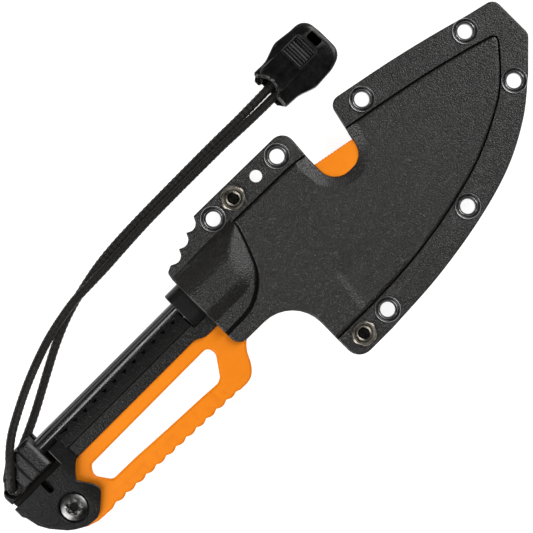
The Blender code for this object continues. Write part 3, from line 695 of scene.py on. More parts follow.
def camera():
    """Straight above the sheathed knife, turned so that its tip points up and right."""
    distance = 1.2
    seen = 0.2328  # metres across the view at the blade's height
    sensor = 36.0
    made = linked("camera", bpy.data.cameras.new("camera"))
    made.data.sensor_width = sensor
    made.data.lens = sensor * distance / seen
    right = Vector((1.0, -1.0, 0.0)).normalized()
    up = Vector((1.0, 1.0, 0.0)).normalized()
    turn = Matrix((right, up, right.cross(up))).transposed()
    made.matrix_world = Matrix.Translation(ORIGIN + Vector((0, 0, distance))) @ turn.to_4x4()
    bpy.context.scene.camera = made


def soft_box(name, at, size, power):
    """A rectangular light that faces the knife."""
    light = bpy.data.lights.new(name, "AREA")
    light.shape = "RECTANGLE"
    light.size, light.size_y = size
    light.energy = power
    made = linked(name, light)
    made.location = ORIGIN + Vector(at)
    made.rotation_euler = Vector(at).to_track_quat("Z", "Y").to_euler()
    return made


def only_on(light, *lit):
    """Keeps a light to those pieces."""
    group = bpy.data.collections.new(f"{light.name}_lit")
    for shown in lit:
        group.objects.link(shown)
    light.light_linking.receiver_collection = group


def maths(tree, operation, *values):
    """A Math node's result from numbers or sockets."""
    node = tree.nodes.new("ShaderNodeMath")
    node.operation = operation
    for socket, value in zip(node.inputs, values):
        fill(tree, socket, value)
    return node.outputs[0]


def sky_light(tree):
    """A dark ceiling, and soft light from lower down that is strongest along the knife."""
    way = added(tree, "SeparateXYZ", Vector=added(tree, "TexCoord").outputs["Generated"])
    low = added(tree, "MapRange", Value=way.outputs["Z"], From_Min=0.95, From_Max=0.7)
    low.interpolation_type = "SMOOTHSTEP"
    square = maths(tree, "MULTIPLY", way.outputs["X"], way.outputs["X"])
    ring = maths(tree, "MULTIPLY_ADD", square, 0.7, 0.05)
    whole = maths(tree, "MULTIPLY_ADD", low.outputs[0], ring, 0.02)
    tree.links.new(whole, tree.nodes["Background"].inputs["Strength"])


def studio():
    world = bpy.data.worlds.new("studio")
    bpy.context.scene.world = world
    world.use_nodes = True
    sky_light(world.node_tree)
    bpy.context.scene.view_settings.view_transform = "Standard"
    soft_box("light_tip", (0.75, 0.0, 0.62), (0.55, 0.9), 9.4)
    soft_box("light_pommel", (-0.75, 0.0, 0.62), (0.55, 0.9), 10.5)


def ground():
    """A pale floor just under the belt loop."""
    mesh = bpy.data.meshes.new("floor")
    half = 3.0
    corners = [(-half, -half, 0.0), (half, -half, 0.0), (half, half, 0.0), (-half, half, 0.0)]
    mesh.from_pydata(corners, [], [(0, 1, 2, 3)])
    floor = linked("floor", mesh)
    floor.location = (ORIGIN.x, ORIGIN.y, ORIGIN.z + FLOOR * MM - 0.0001)
    paper = bpy.data.materials.new("pale_floor")
    paper.use_nodes = True
    shader = paper.node_tree.nodes["Principled BSDF"]
    for socket, value in (
        ("Base Color", (0.45, 0.45, 0.45, 1.0)),
        ("Roughness", 0.9),
        ("Specular IOR Level", 0.1),
        ("Emission Color", (1.0, 1.0, 1.0, 1.0)),
        ("Emission Strength", 0.9),
    ):
        shader.inputs[socket].default_value = value
    mesh.materials.append(paper)


# ---------------------------------------------------------------- lanyard

TURN_RADIUS = 7.8
TURN_MIDDLE = (-142.0, 15.3)
TURN_TOWARDS = (0.68, 0.733)
ROUTE_IN = (
    (64.0, 54.9, CLAMP_Z), (56.0, 54.8, CLAMP_Z - 0.2), (46.0, 54.7, CLAMP_Z - 1.9),
    *[(x, y, CORD_REST + rise) for x, y, rise in (
        (36.0, 54.7, 0.5), (24.0, 54.9, 0.0), (8.0, 54.9, 0.0), (-8.0, 54.8, 0.0), (-24.0, 54.6, 0.0),
        (-40.0, 54.0, 0.0), (-52.0, 52.8, 0.0), (-62.0, 50.9, 0.0), (-71.0, 48.7, 0.0),
        (-80.0, 45.8, 0.0), (-90.0, 41.5, 0.0), (-100.0, 36.3, 0.2), (-110.0, 30.8, 1.2),
        (-119.0, 25.9, 2.8), (-128.0, 21.6, 4.6), (-136.5, 18.0, 5.8),
    )],
)
ROUTE_OUT = (
    (-136.6, 21.1, 7.7), (-130.0, 26.6, 5.9), (-121.0, 32.1, 1.0), (-111.5, 37.2, -5.0),
    (-101.5, 41.6, -9.6), (-91.0, 45.2, -10.9), (-81.0, 47.5, -10.4), (-71.0, 49.1, -10.0),
    (-61.0, 49.5, -10.4), (-51.0, 49.8, -11.2), (-40.0, 50.5, -11.7), (-24.0, 51.3, -11.7),
    (-8.0, 51.5, -11.7), (8.0, 51.5, -11.7), (24.0, 51.4, -11.7), (36.0, 50.9, -11.6),
    (46.0, 50.6, CLAMP_Z - 1.4), (56.0, 50.5, CLAMP_Z - 0.2), (64.0, 50.4, CLAMP_Z),
)
BRAID_PITCH = 2.6
BRAID_DIAMONDS = 6
KNOT_AT = centre("lanyard_knot")


def lanyard_route():
    """Out of the clamp, round through the grip's hole and back."""
    toward = Vector(TURN_TOWARDS).normalized()
    turn = []
    for k in range(7):
        angle = math.pi - math.pi * k / 6
        place = Vector(TURN_MIDDLE) - toward * (TURN_RADIUS * math.sin(angle))
        turn.append((place.x, place.y, TURN_RADIUS * math.cos(angle)))
    return [*ROUTE_IN, *turn, *ROUTE_OUT]


def braid(turns, along):
    """Crossing strands: raised diamonds round the cord."""
    lean = math.tau * along / BRAID_PITCH / 2
    first = np.abs(np.sin(BRAID_DIAMONDS * turns / 2 + lean))
    second = np.abs(np.sin(BRAID_DIAMONDS * turns / 2 - lean))
    return 0.3 * np.sqrt(first * second) - 0.19


def clamp_outline(curved=True):
    """The clamp from above; the front half has a curved mouth, and the back half two small knobs."""
    mouth = through(((55.6, 61.8), (58.2, 58.4), (58.7, 54.6), (57.6, 51.6), (55.4, 49.2)))
    if not curved:
        mouth = rounded([
            (55.6, 62.4), (53.9, 61.4, 0.6), (53.9, 58.8, 0.6), (55.4, 58.2), (55.4, 50.0),
            (53.5, 49.4, 0.6), (53.5, 46.6, 0.6), (55.4, 45.9),
        ])[1:-1]
    return [*rounded([
        (55.3, 43.5, 0.8), (63.0, 43.1, 10.0), (71.0, 40.2, 7.0), (82.0, 40.9, 12.0), (89.7, 43.6, 6.5),
        (89.6, 56.0, 24.0), (88.6, 65.6, 6.0), (80.0, 65.9, 10.0), (71.5, 67.0, 7.0), (63.0, 63.8, 10.0),
        (56.0, 64.1, 1.2), (55.5, 62.6),
    ]), *mouth]


CLAMP_PAD = box_line(57.2, 49.2, 82.8, 63.0, 2.6)
CLAMP_WINDOW = box_line(83.5, 52.6, 87.4, 59.2, 0.9)
CLAMP_RIBS = (72.0, 81.94, 51.3, 61.7, 1.42)
CLAMP_RIB_BOX = box_line(71.2, 50.4, 82.3, 62.4, 0.6)
CLAMP_TOP = 5.8
CLAMP_WALL = 2.2
WELL_START = 59.0
CHANNEL_END = 62.0
CHANNEL_SIDES = (48.0, 57.6)


def clamp_top(curved):
    """The clamp's outer height: a soft shoulder and a raised pad with cross ribs."""
    outline = clamp_outline(curved)

    def top(x, y):
        away = gap(outline, x, y, closed=True)
        z = CLAMP_TOP - 0.7 - edge_drop(away, 1.3) - 0.09 * np.clip(5.0 - away, 0.0, 5.0)
        pad = depth(CLAMP_PAD, x, y)
        box = depth(CLAMP_RIB_BOX, x, y)
        z += np.interp(pad, (0.0, 0.35, 0.6), (0.0, 0.6, 0.8)) + np.interp(box, (0.0, 0.3), (0.0, 0.35))
        x0, x1, y0, y1, pitch = CLAMP_RIBS
        ribs = (x > x0) & (x < x1) & (y > y0) & (y < y1)
        wave = 0.5 - 0.5 * np.cos(math.tau * (x - x0) / pitch)
        z -= np.where(ribs, 0.6 * unit(1.6 * wave - 0.3), 0.0)
        return CLAMP_Z + np.maximum(z, 2.6)

    return top


def clamp_bottom(x, y):
    """The clamp's inner height: a well for the knot and a channel for the cord."""
    outline = clamp_outline(False)
    well = (gap(outline, x, y, closed=True) > CLAMP_WALL) & (x > WELL_START)
    channel = (x < CHANNEL_END) & (y > CHANNEL_SIDES[0]) & (y < CHANNEL_SIDES[1])
    inner = np.where(well, 4.0, np.where(channel, 2.7, 0.15))
    return CLAMP_Z + inner


def clamp_creases(curved):
    creases = around(clamp_outline(curved), 0.12, 0.45, 1.3)
    creases += around(clamp_outline(False), CLAMP_WALL - 0.01, CLAMP_WALL + 0.01)
    creases += around(CLAMP_PAD, 0.0, 0.35, 0.6)
    creases += around(CLAMP_RIB_BOX, 0.0, 0.3)
    x0, x1, y0, y1, pitch = CLAMP_RIBS
    steps = 6 * round((x1 - x0) / pitch)
    for k in range(steps + 1):
        x = x0 + (x1 - x0) * k / steps
        creases.append([(x, y0 - 0.1), (x, y0 + 0.1), (x, y1 - 0.1), (x, y1 + 0.1)])
    near, far = CHANNEL_SIDES
    creases += [[(WELL_START - 0.01, near), (WELL_START - 0.01, far)]]
    creases += [[(54.0, y), (CHANNEL_END, y)] for y in (near + 0.01, far - 0.01)]
    return creases


def lanyard():
    """The cord with its knot and clamp."""
    path = even(through(lanyard_route(), 12), 0.33)
    mesh = tube("cord_braid", path, CORD_RADIUS, braid)
    cord = piece(mesh, CORD_BLACK, "fire_rod", "lanyard_cord")
    holes = [clamp_outline(), CLAMP_WINDOW]
    mesh = plate("clamp_front", holes, clamp_creases(True), clamp_top(True), clamp_bottom, 1.6)
    front = piece(mesh, CLAMP_BLACK, "fire_rod", "cord_end_front")
    outline = [clamp_outline(False)]
    mesh = plate("clamp_whole", outline, clamp_creases(False), clamp_top(False), clamp_bottom, 1.6)
    back = piece(mirrored("clamp_back", mesh, CLAMP_Z), CLAMP_BLACK, "fire_rod", "cord_end_back")
    angles = [math.tau * k / 240 for k in range(240)]
    knot_path = [
        (
            KNOT_AT.x + 1.72 * (math.sin(t) + 2 * math.sin(2 * t)),
            KNOT_AT.y + 1.78 * (math.cos(t) - 2 * math.cos(2 * t)),
            KNOT_AT.z - 2.0 * math.sin(3 * t),
        )
        for t in angles
    ]
    mesh = tube("cord_knot", knot_path, CORD_RADIUS, braid, cyclic=True)
    knot = piece(mesh, CORD_BLACK, "fire_rod", "lanyard_knot")


# ---------------------------------------------------------------- sheath

POCKET_UPPER = (
    (-15, 24.6), (10, 24.0), (37, 23.5), (46, 22.2), (67.5, 18.1), (90, 13.9), (110, 9.7), (130, 4.7),
)
POCKET_LOWER = (
    (140, -3.2), (130, -14.0), (120, -21.5), (100, -31.3), (80, -37.2), (60, -41.2), (40, -43.4),
    (20, -44.2),
)
SLOT_UPPER = ((-15, 22.7), (10, 22.2), (37, 21.5), (67.5, 16.3), (90, 12.1), (110, 7.8), (130, 2.9))
SLOT_LOWER = (
    (136.5, -3.6), (128, -12.3), (118, -20.2), (99, -29.6), (80, -35.4), (60, -39.5), (40, -41.8),
    (20, -42.6),
)
BELLY = ((20, -57.9), (50, -56.0), (80, -51.2), (105, -44.0), (125, -33.5), (140, -21.5))
TOP_EDGE = ((140, 15.5), (120, 20.9), (100, 25.6), (80, 29.6))
THROAT_ARC = (
    (3.6, 23.9), (3.5, 21.5), (2.5, 18.0), (0.0, 11.0), (-3.5, 3.0), (-7.5, -1.8), (-12.5, -5.5),
    (-18.0, -7.8), (-25.0, -8.5), (-36.0, -8.5),
)
NOTCH_DISH = (
    (40.5, 24.8), (40.4, 15.0), (43.5, 5.0), (55.5, -1.2), (67.0, 4.5), (71.2, 13.5), (72.8, 19.5),
)
LEDGE_ARC = ((-9.3, -2.9), (-12.5, -5.5), (-18.0, -7.8), (-25.0, -8.5))


def scallops():
    """The three bites down the rim to the mouth, from the spine side, with hooked teeth between them."""
    bite = (
        (0.3, 0.2), (-0.35, -1.0), (-1.1, -2.5), (-2.4, -3.5), (-3.7, -3.85), (-4.9, -3.75), (-6.1, -3.25),
        (-6.9, -2.85),
    )
    points = []
    for k in range(3):
        x = -7.3 - 7.23 * k
        y = 37.9 - 2.7 * k
        points += through([(x + dx, y + dy) for dx, dy in bite], 3)
    return [*points, (-29.2, 30.0, 1.2), (-32.6, 28.4, 2.0)]


SHEATH_LINE = even_closed(rounded([
    (MOUTH_X, -16.3, 5.0), (-0.2, -16.6, 17.5), (-0.6, -44.0), (-0.6, -57.9, 7.0), *through(BELLY),
    (152.7, -8.9, 4.0), (152.7, 12.5, 4.5), *through(TOP_EDGE), (70.0, 31.5, 4.5), (63.8, 4.0, 8.0),
    (45.8, 4.0, 9.0), (46.2, 20.0), (47.6, 37.3, 6.0), *scallops(), (MOUTH_X, 25.0),
]))
POCKET_TIP = rounded([(130, 4.7), (142.6, 0.8, 2.0), (140, -3.2)])[1:-1]
POCKET_EDGE = [(-38.0, 24.9), *through(POCKET_UPPER), *POCKET_TIP, *through(POCKET_LOWER), (-4.0, -44.1)]
POCKET = [*POCKET_EDGE, (-4.0, -100.0), (-60.0, -100.0), (-60.0, 24.9)]
DISH_EDGE = through(NOTCH_DISH)
DISH = [*DISH_EDGE, (72.8, 60.0), (40.5, 60.0)]
ARC_EDGE = through(THROAT_ARC)
THROAT = [*ARC_EDGE, (-60.0, -8.5), (-60.0, 25.2), (3.6, 25.2)]
LEDGE = [
    (-60.0, 4.0), (-60.0, -8.5), *reversed(through(LEDGE_ARC)), (-8.6, 1.0), (-9.0, 4.0),
]
SLOT = [
    (-70, 22.8), (-34, 22.8), *through(SLOT_UPPER), (138.6, 0.3), *through(SLOT_LOWER),
    (-3.0, -42.9), (-9, -26), (-16, -20), (-70, -20),
]
FLANK_TOP_Y = 13.8
FLANK_LOW_Y = 4.6
FLANK_FOOT_Y = -1.5
END_SLOPE = 0.45
DISH_STEP = 0.12
DISH_SLOPE = 0.33
BLEND = 1.2
RAMP = 0.4


def arch(y):
    """The throat bulge across the sheath: a steepening flank at the spine side, and a low one opposite."""
    upper = np.clip(y - FLANK_TOP_Y, 0.0, None)
    lower = unit((FLANK_LOW_Y - y) / (FLANK_LOW_Y - FLANK_FOOT_Y))
    z = BULGE_TOP - 0.22 * upper - 0.024 * upper**2
    return z - (BULGE_TOP - LEDGE_TOP) * lower**1.15 - 8.0 * (lower >= 1)


def lower_of(a, b, blend):
    """The lower of two heights, with a soft turn between them."""
    mix = unit(0.5 + (b - a) / (2 * blend))
    return b + (a - b) * mix - blend * mix * (1 - mix)


def plunge(x, y):
    """A shallow facet low on the pocket, deepest at its sharp left edge."""
    left = np.interp(-y, (21.0, 27.0, 35.0, 43.0), (20.3, 18.5, 17.5, 16.2))
    wide = np.interp(-y, (21.0, 30.0, 43.0), (0.3, 1.2, 2.2))
    across = unit((x - left) / wide)
    return 0.62 * across * soft(-y, 20.0, 26.0) * (1 - soft(x, 26.0, 64.0))


def sheath_top(x, y):
    """The front shell's outer height."""
    pocket = depth(POCKET, x, y)
    z = np.interp(pocket, (-0.5, 0.0, 0.45, 0.8, 1.4), (RIM_TOP, 0.6, 4.0, 4.25, POCKET_TOP))
    z = z - np.where(pocket > 1.4, plunge(x, y), 0.0)
    dish = depth(DISH, x, y)
    z = np.where(dish > 0, np.minimum(z, POCKET_TOP - DISH_STEP - DISH_SLOPE * dish), z)
    arc = gap(ARC_EDGE, x, y)
    slope = np.minimum(1.1 * arc, 0.4 + END_SLOPE * arc)
    bulge = lower_of(arch(y), POCKET_TOP - 0.2 + slope, BLEND)
    ledge = np.where(within(LEDGE, x, y), np.minimum(LEDGE_TOP, POCKET_TOP + 1.6 * arc), 0.0)
    z = np.where(within(THROAT, x, y), np.maximum(z, np.maximum(bulge, ledge)), z)
    groove = 0.45 * (pocket > 1.0) * (1.0 + 0.8 * soft(-y, -8.0, 2.0))
    z = z - 2.0 * groove * np.exp(-((arc / (0.25 + 0.35 * groove)) ** 2))
    return z - edge_drop(gap(SHEATH_LINE, x, y, closed=True), 0.7)


def ramp(x, start, end=None):
    """A short ramp between 0 at start and 1 past it; an end brings it down again."""
    rise = unit((x - start) / RAMP)
    return rise if end is None else rise * unit((end - x) / RAMP)


def sheath_bottom(x, y):
    """The front shell's inner height: the blade's slot, the collar's throat and the scale's slot."""
    z = SHELL_LOW + (SLOT_HALF - SHELL_LOW) * unit(depth(SLOT, x, y) / RAMP)
    middle = 12.25
    half = 10.45
    corner = np.clip(np.abs(y - middle) - (half - 5.9), 0.0, 5.9)
    throat = (0.7 + np.sqrt(5.9**2 - corner**2)) * ramp(-x, -THROAT_END) * (np.abs(y - middle) < half)
    tongue = (SCALE_FLAT + 0.4) * ramp(-x, 17.5) * ramp(y, -3.6, 4.0)
    return np.maximum(z, np.maximum(throat, tongue))


def shell_creases():
    throat_lines = (THROAT_END, THROAT_END - RAMP, -17.5, -17.5 - RAMP)
    return [
        *around(SHEATH_LINE, 0.1, 0.35, 0.7),
        *beside(split(POCKET_EDGE), 0.5, 0.0, -0.45, -0.8, -1.4),
        *beside(split(DISH_EDGE), 0.0, 0.15),
        *beside(split(ARC_EDGE, 0.8), 1.0, 0.6, 0.4, 0.2, 0.0, -0.2, -0.4, -0.6, -1.0),
        *beside(split([*SLOT, SLOT[0]], 2.0), 0.0, -RAMP),
        *[split([(x, -10.0), (x, 24.0)], 0.7) for x in throat_lines],
        *[split([(-34.0, y), (-13.0, y)], 0.7) for y in (1.8, 22.7, -3.6, -3.6 + RAMP, 4.0 - RAMP, 4.0)],
        split([(20.3, -21.0), (18.5, -27.0), (17.5, -35.0), (16.2, -42.0)], 1.0),
        split([(20.7, -21.0), (19.8, -30.0), (18.5, -42.0)], 1.0),
    ]


def shell_mesh():
    holes = [circle(at, EYELET_BARREL + GAP, 36) for at in EYELETS]
    holes.append(circle(SPARE_HOLE, SPARE_RADIUS, 32))
    holes += [circle(at, LOOP_SHAFT + GAP, 24) for at in LOOP_SCREWS]
    creases = [*shell_creases(), *around(circle(SPARE_HOLE, SPARE_RADIUS + 0.5, 32), 0.0)]
    fine = ((0.7, -34.0, -10.0, 6.0, 26.0), (1.3, 38.0, -4.0, 74.0, 26.0), (1.6, 14.0, -44.0, 60.0, -20.0))
    return plate("front_shell", [SHEATH_LINE, *holes], creases, sheath_top, sheath_bottom, 4.0, fine)


EYELET_ROLLS = (  # (inwards from the flange's edge, above the rim)
    (0.15, 0.0), (0.0, 0.2), (0.05, 0.6), (0.2, 0.8), (0.4, 0.75), (0.65, 0.4), (1.0, 0.3), (1.3, 0.55),
    (1.5, 0.95), (1.65, 1.05), (1.8, 0.95), (2.05, 0.4),
)


def eyelet(number):
    """A rolled eyelet: a fat outer roll, a groove and a thin inner ring, on both faces."""
    under = RIM_TOP + 0.25
    rolls = [(EYELET_FLANGE - inwards, under + height) for inwards, height in EYELET_ROLLS]
    bore = [(EYELET_BORE + 0.1, under - 0.3), (EYELET_BORE, under - 0.9)]
    front = [(EYELET_BARREL, under), *rolls, *bore]
    back = [(r, -z) for r, z in reversed(front)]
    mesh = turned(f"rolled_eyelet_{number}", front + back, EYELETS[number - 1], cyclic=True)
    piece(mesh, EYELET_METAL, "sheath", f"eyelet_{number}")


def polar(at, z, angles, reach):
    """A level ring about an axis, with a radius for each angle."""
    return [(at[0] + r * math.cos(a), at[1] + r * math.sin(a), z) for a, r in zip(angles, reach)]


def hexagon_ring(at, z, corner, round_to=None, count=72):
    """A hexagon with points on every side, or its corners cut back to a circle."""
    angles = [math.tau * k / count for k in range(count)]
    off = [(angle + math.pi / 6) % (math.pi / 3) - math.pi / 6 for angle in angles]
    reach = [min(corner * math.cos(math.pi / 6) / math.cos(a), round_to or corner) for a in off]
    return polar(at, z, [angle + math.pi / 6 for angle in angles], reach)


def nut(which, at, finish):
    """A hexagonal nut with rounded corners, a groove and a raised ring about a hexagonal hole."""
    low, high = RIM_TOP + GAP, 5.0
    corner = 6.05
    sides = ((low, 5.3), (low + 0.3, 5.6), (high - 0.75, 5.6), (high - 0.3, 5.1))
    face = (
        (4.9, -0.2), (4.0, -0.25), (3.75, -0.75), (3.4, -0.75), (3.2, 0.0), (2.95, 0.05), (2.7, -0.1),
    )
    rings = [[(*q, low) for q in circle(at, LOOP_SHAFT + GAP, 72)]]
    rings += [hexagon_ring(at, z, corner, radius) for z, radius in sides]
    rings += [[(*q, high + rise) for q in circle(at, radius, 72)] for radius, rise in face]
    rings += [hexagon_ring(at, high - 0.3, 2.75), hexagon_ring(at, high - 1.2, 2.7)]
    mesh = loft(f"hex_nut_{which}", rings, cyclic=True)
    piece(mesh, finish, "sheath", f"loop_nut_{which}", sharp=28)


DRIVE_DEPTH = 1.9


def star(at, z, radius, count=96):
    """A six-lobed drive's outline."""
    angles = [math.tau * k / count for k in range(count)]
    return polar(at, z, angles, [radius * (1.0 + 0.18 * math.cos(6 * angle)) for angle in angles])


def star_screw(name, at, heads, finish, body, node, sign=1, drive=2.45, socket=None):
    """A turned screw whose head, at the end of the profile, has a six-lobed drive darkened with painted
    shade.

    A socket of that size across its corners is sunk into its other end."""
    rings = [[(*q, sign * z) for q in circle(at, r, 96)] for r, z in heads]
    top = heads[-1][1]
    rings += [star(at, sign * top, drive), star(at, sign * (top - 0.12), drive - 0.12)]
    rings += [star(at, sign * (top - DRIVE_DEPTH), drive - 0.15)]
    rings += [star(at, sign * (top - DRIVE_DEPTH - 0.3), 0.5)]
    if socket:
        low = heads[0][1]
        steps = ((1.8, 0.4), (1.6, socket), (0.0, socket))
        rings = [hexagon_ring(at, sign * (low + far), size, count=96) for far, size in steps] + rings
    mesh = loft(name, rings)
    piece(mesh, finish, body, node, sharp=30)

    def sunk_in(x, y, z):
        off = np.hypot(x - at[0], y - at[1])
        far = sign * z
        in_drive = (off < 1.1 * drive) & (far < top - 0.25) & (far > top - DRIVE_DEPTH - 0.6)
        in_socket = (off < LOOP_SHAFT - 0.05) & (far < heads[0][1] + 2.0) & bool(socket)
        return in_drive | in_socket

    # Painted shade in the drive and the socket, where the holes lie in shadow
    painted(mesh, PAINTED_SHADE, sunk_in)


STRAP_LINE = even_closed(rounded([
    (1.0, -57.0, 3.0), (19.5, -57.0, 3.0), (19.5, -14.0, 3.0), (40.0, -12.0, 4.0), (40.0, 20.0, 4.0),
    (20.0, 22.0, 3.0), (20.0, 37.0, 3.0), (2.5, 37.0, 3.0), (2.0, 22.0, 3.0), (-24.0, 20.0, 4.0),
    (-24.0, -12.0, 4.0), (1.0, -14.0, 3.0),
]), 3.0)
STRAP_FEET = [box_line(4.7, 25.7, 19.3, 36.3, 2.0), box_line(1.7, -56.3, 17.6, -45.3, 2.0)]
STRAP_PANEL = box_line(-19.0, -7.5, 35.0, 15.5, 3.0)
STRAP_TOP = FLOOR + 2.4
FOOT_TOP = -RIM_TOP - GAP
FOOT_STEPS = (-1.0, 0.0, 0.02, 0.3)
SEAT_RADIUS = 4.5  # of the belt screws' heads in the strap


def strap_top(x, y):
    """The strap's side towards the sheath, with its two feet."""
    z = STRAP_TOP - edge_drop(gap(STRAP_LINE, x, y, closed=True), 0.8)
    full = FOOT_TOP - STRAP_TOP
    for foot in STRAP_FEET:
        rise = np.interp(depth(foot, x, y), FOOT_STEPS, (0.0, 0.8, full - 0.3, full))
        z = np.maximum(z, STRAP_TOP + rise - 0.001)
    return z


def strap_bottom(x, y):
    """The strap's outer side, with its sunk panel and the seats of the belt screws."""
    z = FLOOR + edge_drop(gap(STRAP_LINE, x, y, closed=True), 0.8)
    z = z + np.interp(depth(STRAP_PANEL, x, y), (0.0, 0.5), (0.0, 0.4))
    for at in LOOP_SCREWS:
        away = np.hypot(x - at[0], y - at[1])
        z = np.where(away < SEAT_RADIUS, -6.0 + GAP, z)
    return z


def belt_loop():
    """A moulded strap on two feet, with rounded edges and a sunk panel."""
    creases = around(STRAP_LINE, 0.1, 0.35, 0.8) + around(STRAP_PANEL, 0.0, 0.5)
    for foot in STRAP_FEET:
        creases += around(foot, *FOOT_STEPS)
    for at in LOOP_SCREWS:
        creases += around(circle(at, SEAT_RADIUS - 0.01, 32), 0.0)
        creases += around(circle(at, SEAT_RADIUS + 0.01, 32), 0.0)
    loops = [STRAP_LINE, *[circle(at, LOOP_SHAFT + GAP, 24) for at in LOOP_SCREWS]]
    mesh = plate("belt_strap", loops, creases, strap_top, strap_bottom, 6.0)
    piece(mesh, SHEATH_PLASTIC, "sheath", "belt_loop")


def sheath():
    mesh = shell_mesh()
    back = mirrored("back_shell", mesh)
    piece(mesh, SHEATH_PLASTIC, "sheath", "sheath_front_shell")
    piece(back, SHEATH_PLASTIC, "sheath", "sheath_back_shell")
    for number in range(1, 8):
        eyelet(number)
    for which, at, finish in zip(("upper", "lower"), LOOP_SCREWS, NUT_STEEL):
        nut(which, at, finish)
        head = [
            (LOOP_SHAFT - 0.25, -4.2), (LOOP_SHAFT, -3.95), (LOOP_SHAFT, 6.0), (4.2, 6.0), (4.2, 7.9),
            (3.9, 8.3), (3.2, 8.6),
        ]
        name = f"belt_screw_{which}"
        star_screw(name, at, head, finish, "sheath", f"loop_screw_{which}", sign=-1, socket=1.7)
    belt_loop()


# ---------------------------------------------------------------- knife

BLADE_EDGE = (
    (20, -41.5), (40, -40.6), (60, -38.3), (80, -34.2), (100, -28.2), (115, -21.0), (125, -14.2),
    (132, -6.6),
)
HEEL = (1.3, -41.3)
TIP = (134.5, -1.6)
GROUND_WIDTH = 1.3  # of the bare strip along the sharpened edge
GRIND_LINE = (
    (22, -16), (40, -14.3), (60, -12.5), (80, -9.2), (100, -6.2), (115, -4.4), (125, -3.4), (132, -2.6),
)


def waves(first, last, pitch, height, per_wave=10):
    """Rounded teeth along a line, with sharp valleys, on its right side."""
    a, b = Vector(first), Vector(last)
    run = b - a
    count = round(run.length / pitch)
    out = Vector((run.y, -run.x)).normalized()
    found = []
    for k in range(count * per_wave):
        rise = height * abs(math.sin(math.pi * k / per_wave))
        found.append(tuple(a + run * (k / (count * per_wave)) + out * (rise - height)))
    return found


BLANK_LINE = even_closed([  # from the pommel along the finger side to the tip, and back along the spine
    (-151.4, 2.6), (-151.4, -2.0), (-149.6, -9.0), (-146.9, -14.0), (-142.5, -20.0), (-139.5, -22.6),
    (-135.0, -25.2), (-130.0, -26.8), (-122.0, -27.2),
    *waves((-119.0, -27.2), (-47.6, -29.95), 5.95, 1.0),
    *through((
        (-46.0, -30.0), (-41.5, -30.0), (-38.0, -28.8), (-34.8, -25.3), (-32.0, -20.0), (-28.3, -16.2),
        (-24.5, -14.9), (-16.0, -15.0), (-8.5, -17.6), (-2.5, -24.0), (1.0, -32.0), HEEL,
    ), 5), *through(BLADE_EDGE),
    TIP, *through(((125, 1.2), (105, 5.2), (85, 9.2), (66, 12.9))),
    *waves((65.0, 13.1), (46.3, 16.6), 1.55, 0.18, 6),
    (44.0, 17.0), (30.0, 19.2), (5.0, 20.6), (-20.6, 20.6), (-20.6, 9.5), (-123.6, 9.5), (-123.6, 2.6),
], 2.0)
SCALE_HOLES = [circle(POMMEL_SCREW, 3.3, 32), circle(SCALE_PIN, 1.5, 20)]
PIN_HOLE = 1.7
WINDOW_LINE = even_closed(rounded([
    (-115.2, -7.0, 2.6), (-118.0, -11.2, 3.6), (-113.0, -18.3, 3.0), (-100.0, -18.5), (-80.0, -19.6),
    (-60.0, -20.5), (-49.5, -21.2, 5.0), (-42.4, -11.0, 4.0), (-43.6, -6.7, 2.6),
]), 2.0)


def blank_top(x, y):
    """Half the steel's thickness: chamfered handle edges, a ground blade and a fine second bevel."""
    away = np.minimum(gap(BLANK_LINE, x, y, closed=True), gap(WINDOW_LINE, x, y, closed=True))
    handle = 1 - soft(x, -20.0, 0.0)
    z = BLADE_HALF - unit(1.0 - away) * (0.25 + 0.5 * handle)
    edge = gap([HEEL, *through(BLADE_EDGE), TIP], x, y)
    line = [(19.6, -24.0), *through(GRIND_LINE), (136.0, -1.9)]
    flat = gap(line, x, y)
    below = within([*line, (136.0, -80.0), (18.6, -80.0), (18.6, -41.5)], x, y)
    ground = EDGE_HALF + (BLADE_HALF - EDGE_HALF) * edge / (edge + flat + 0.01)
    ground = np.minimum(ground, EDGE_HALF + 0.3 * edge)
    return np.where(below, np.minimum(BLADE_HALF, ground), z)


def blank_bottom(x, y):
    return -blank_top(x, y)


def blank_mesh():
    holes = [WINDOW_LINE, *SCALE_HOLES, *[circle(at, PIN_HOLE, 20) for at in COLLAR_PINS]]
    creases = [
        *around(BLANK_LINE, 0.5, 1.0),
        *beside(WINDOW_LINE, -0.5, -1.0),
        split([(18.6, -41.0), (19.6, -24.0), *through(GRIND_LINE), (134.0, -2.2)], 1.5),
        *beside(split(through(BLADE_EDGE), 1.0), GROUND_WIDTH, 3.0),
    ]
    return plate("steel_blank", [BLANK_LINE, *holes], creases, blank_top, blank_bottom, 3.5)


POMMEL_LINE = (
    (-151.9, 2.7), (-152.2, 2.2), (-152.2, -2.0), (-151.3, -3.5), (-150.0, -9.5), (-147.5, -14.0),
    (-145.0, -17.0), (-142.5, -20.0), (-140.0, -22.0), (-137.5, -23.5), (-135.0, -24.8), (-131.0, -25.3),
    (-129.0, -25.3), (-126.5, -24.0), (-123.0, -21.0), (-120.3, -18.5), (-119.4, -17.0), (-119.4, -15.5),
    (-120.3, -13.0), (-122.5, -10.0), (-124.0, -7.5), (-123.0, -5.5), (-119.5, -2.0), (-117.4, -0.6),
)


def rib_line():
    """The scalloped lip over the rod, from the collar to the pommel."""
    tooth = ((4.3, 12.6), (3.0, 12.8), (1.7, 12.6), (0.8, 11.3), (0.0, 10.9), (-0.8, 11.3))
    points = [(along - 46.0 - 6.0 * k, y) for k in range(12) for along, y in tooth]
    return [(x, y) for x, y in points if -117.0 < x < -41.3]


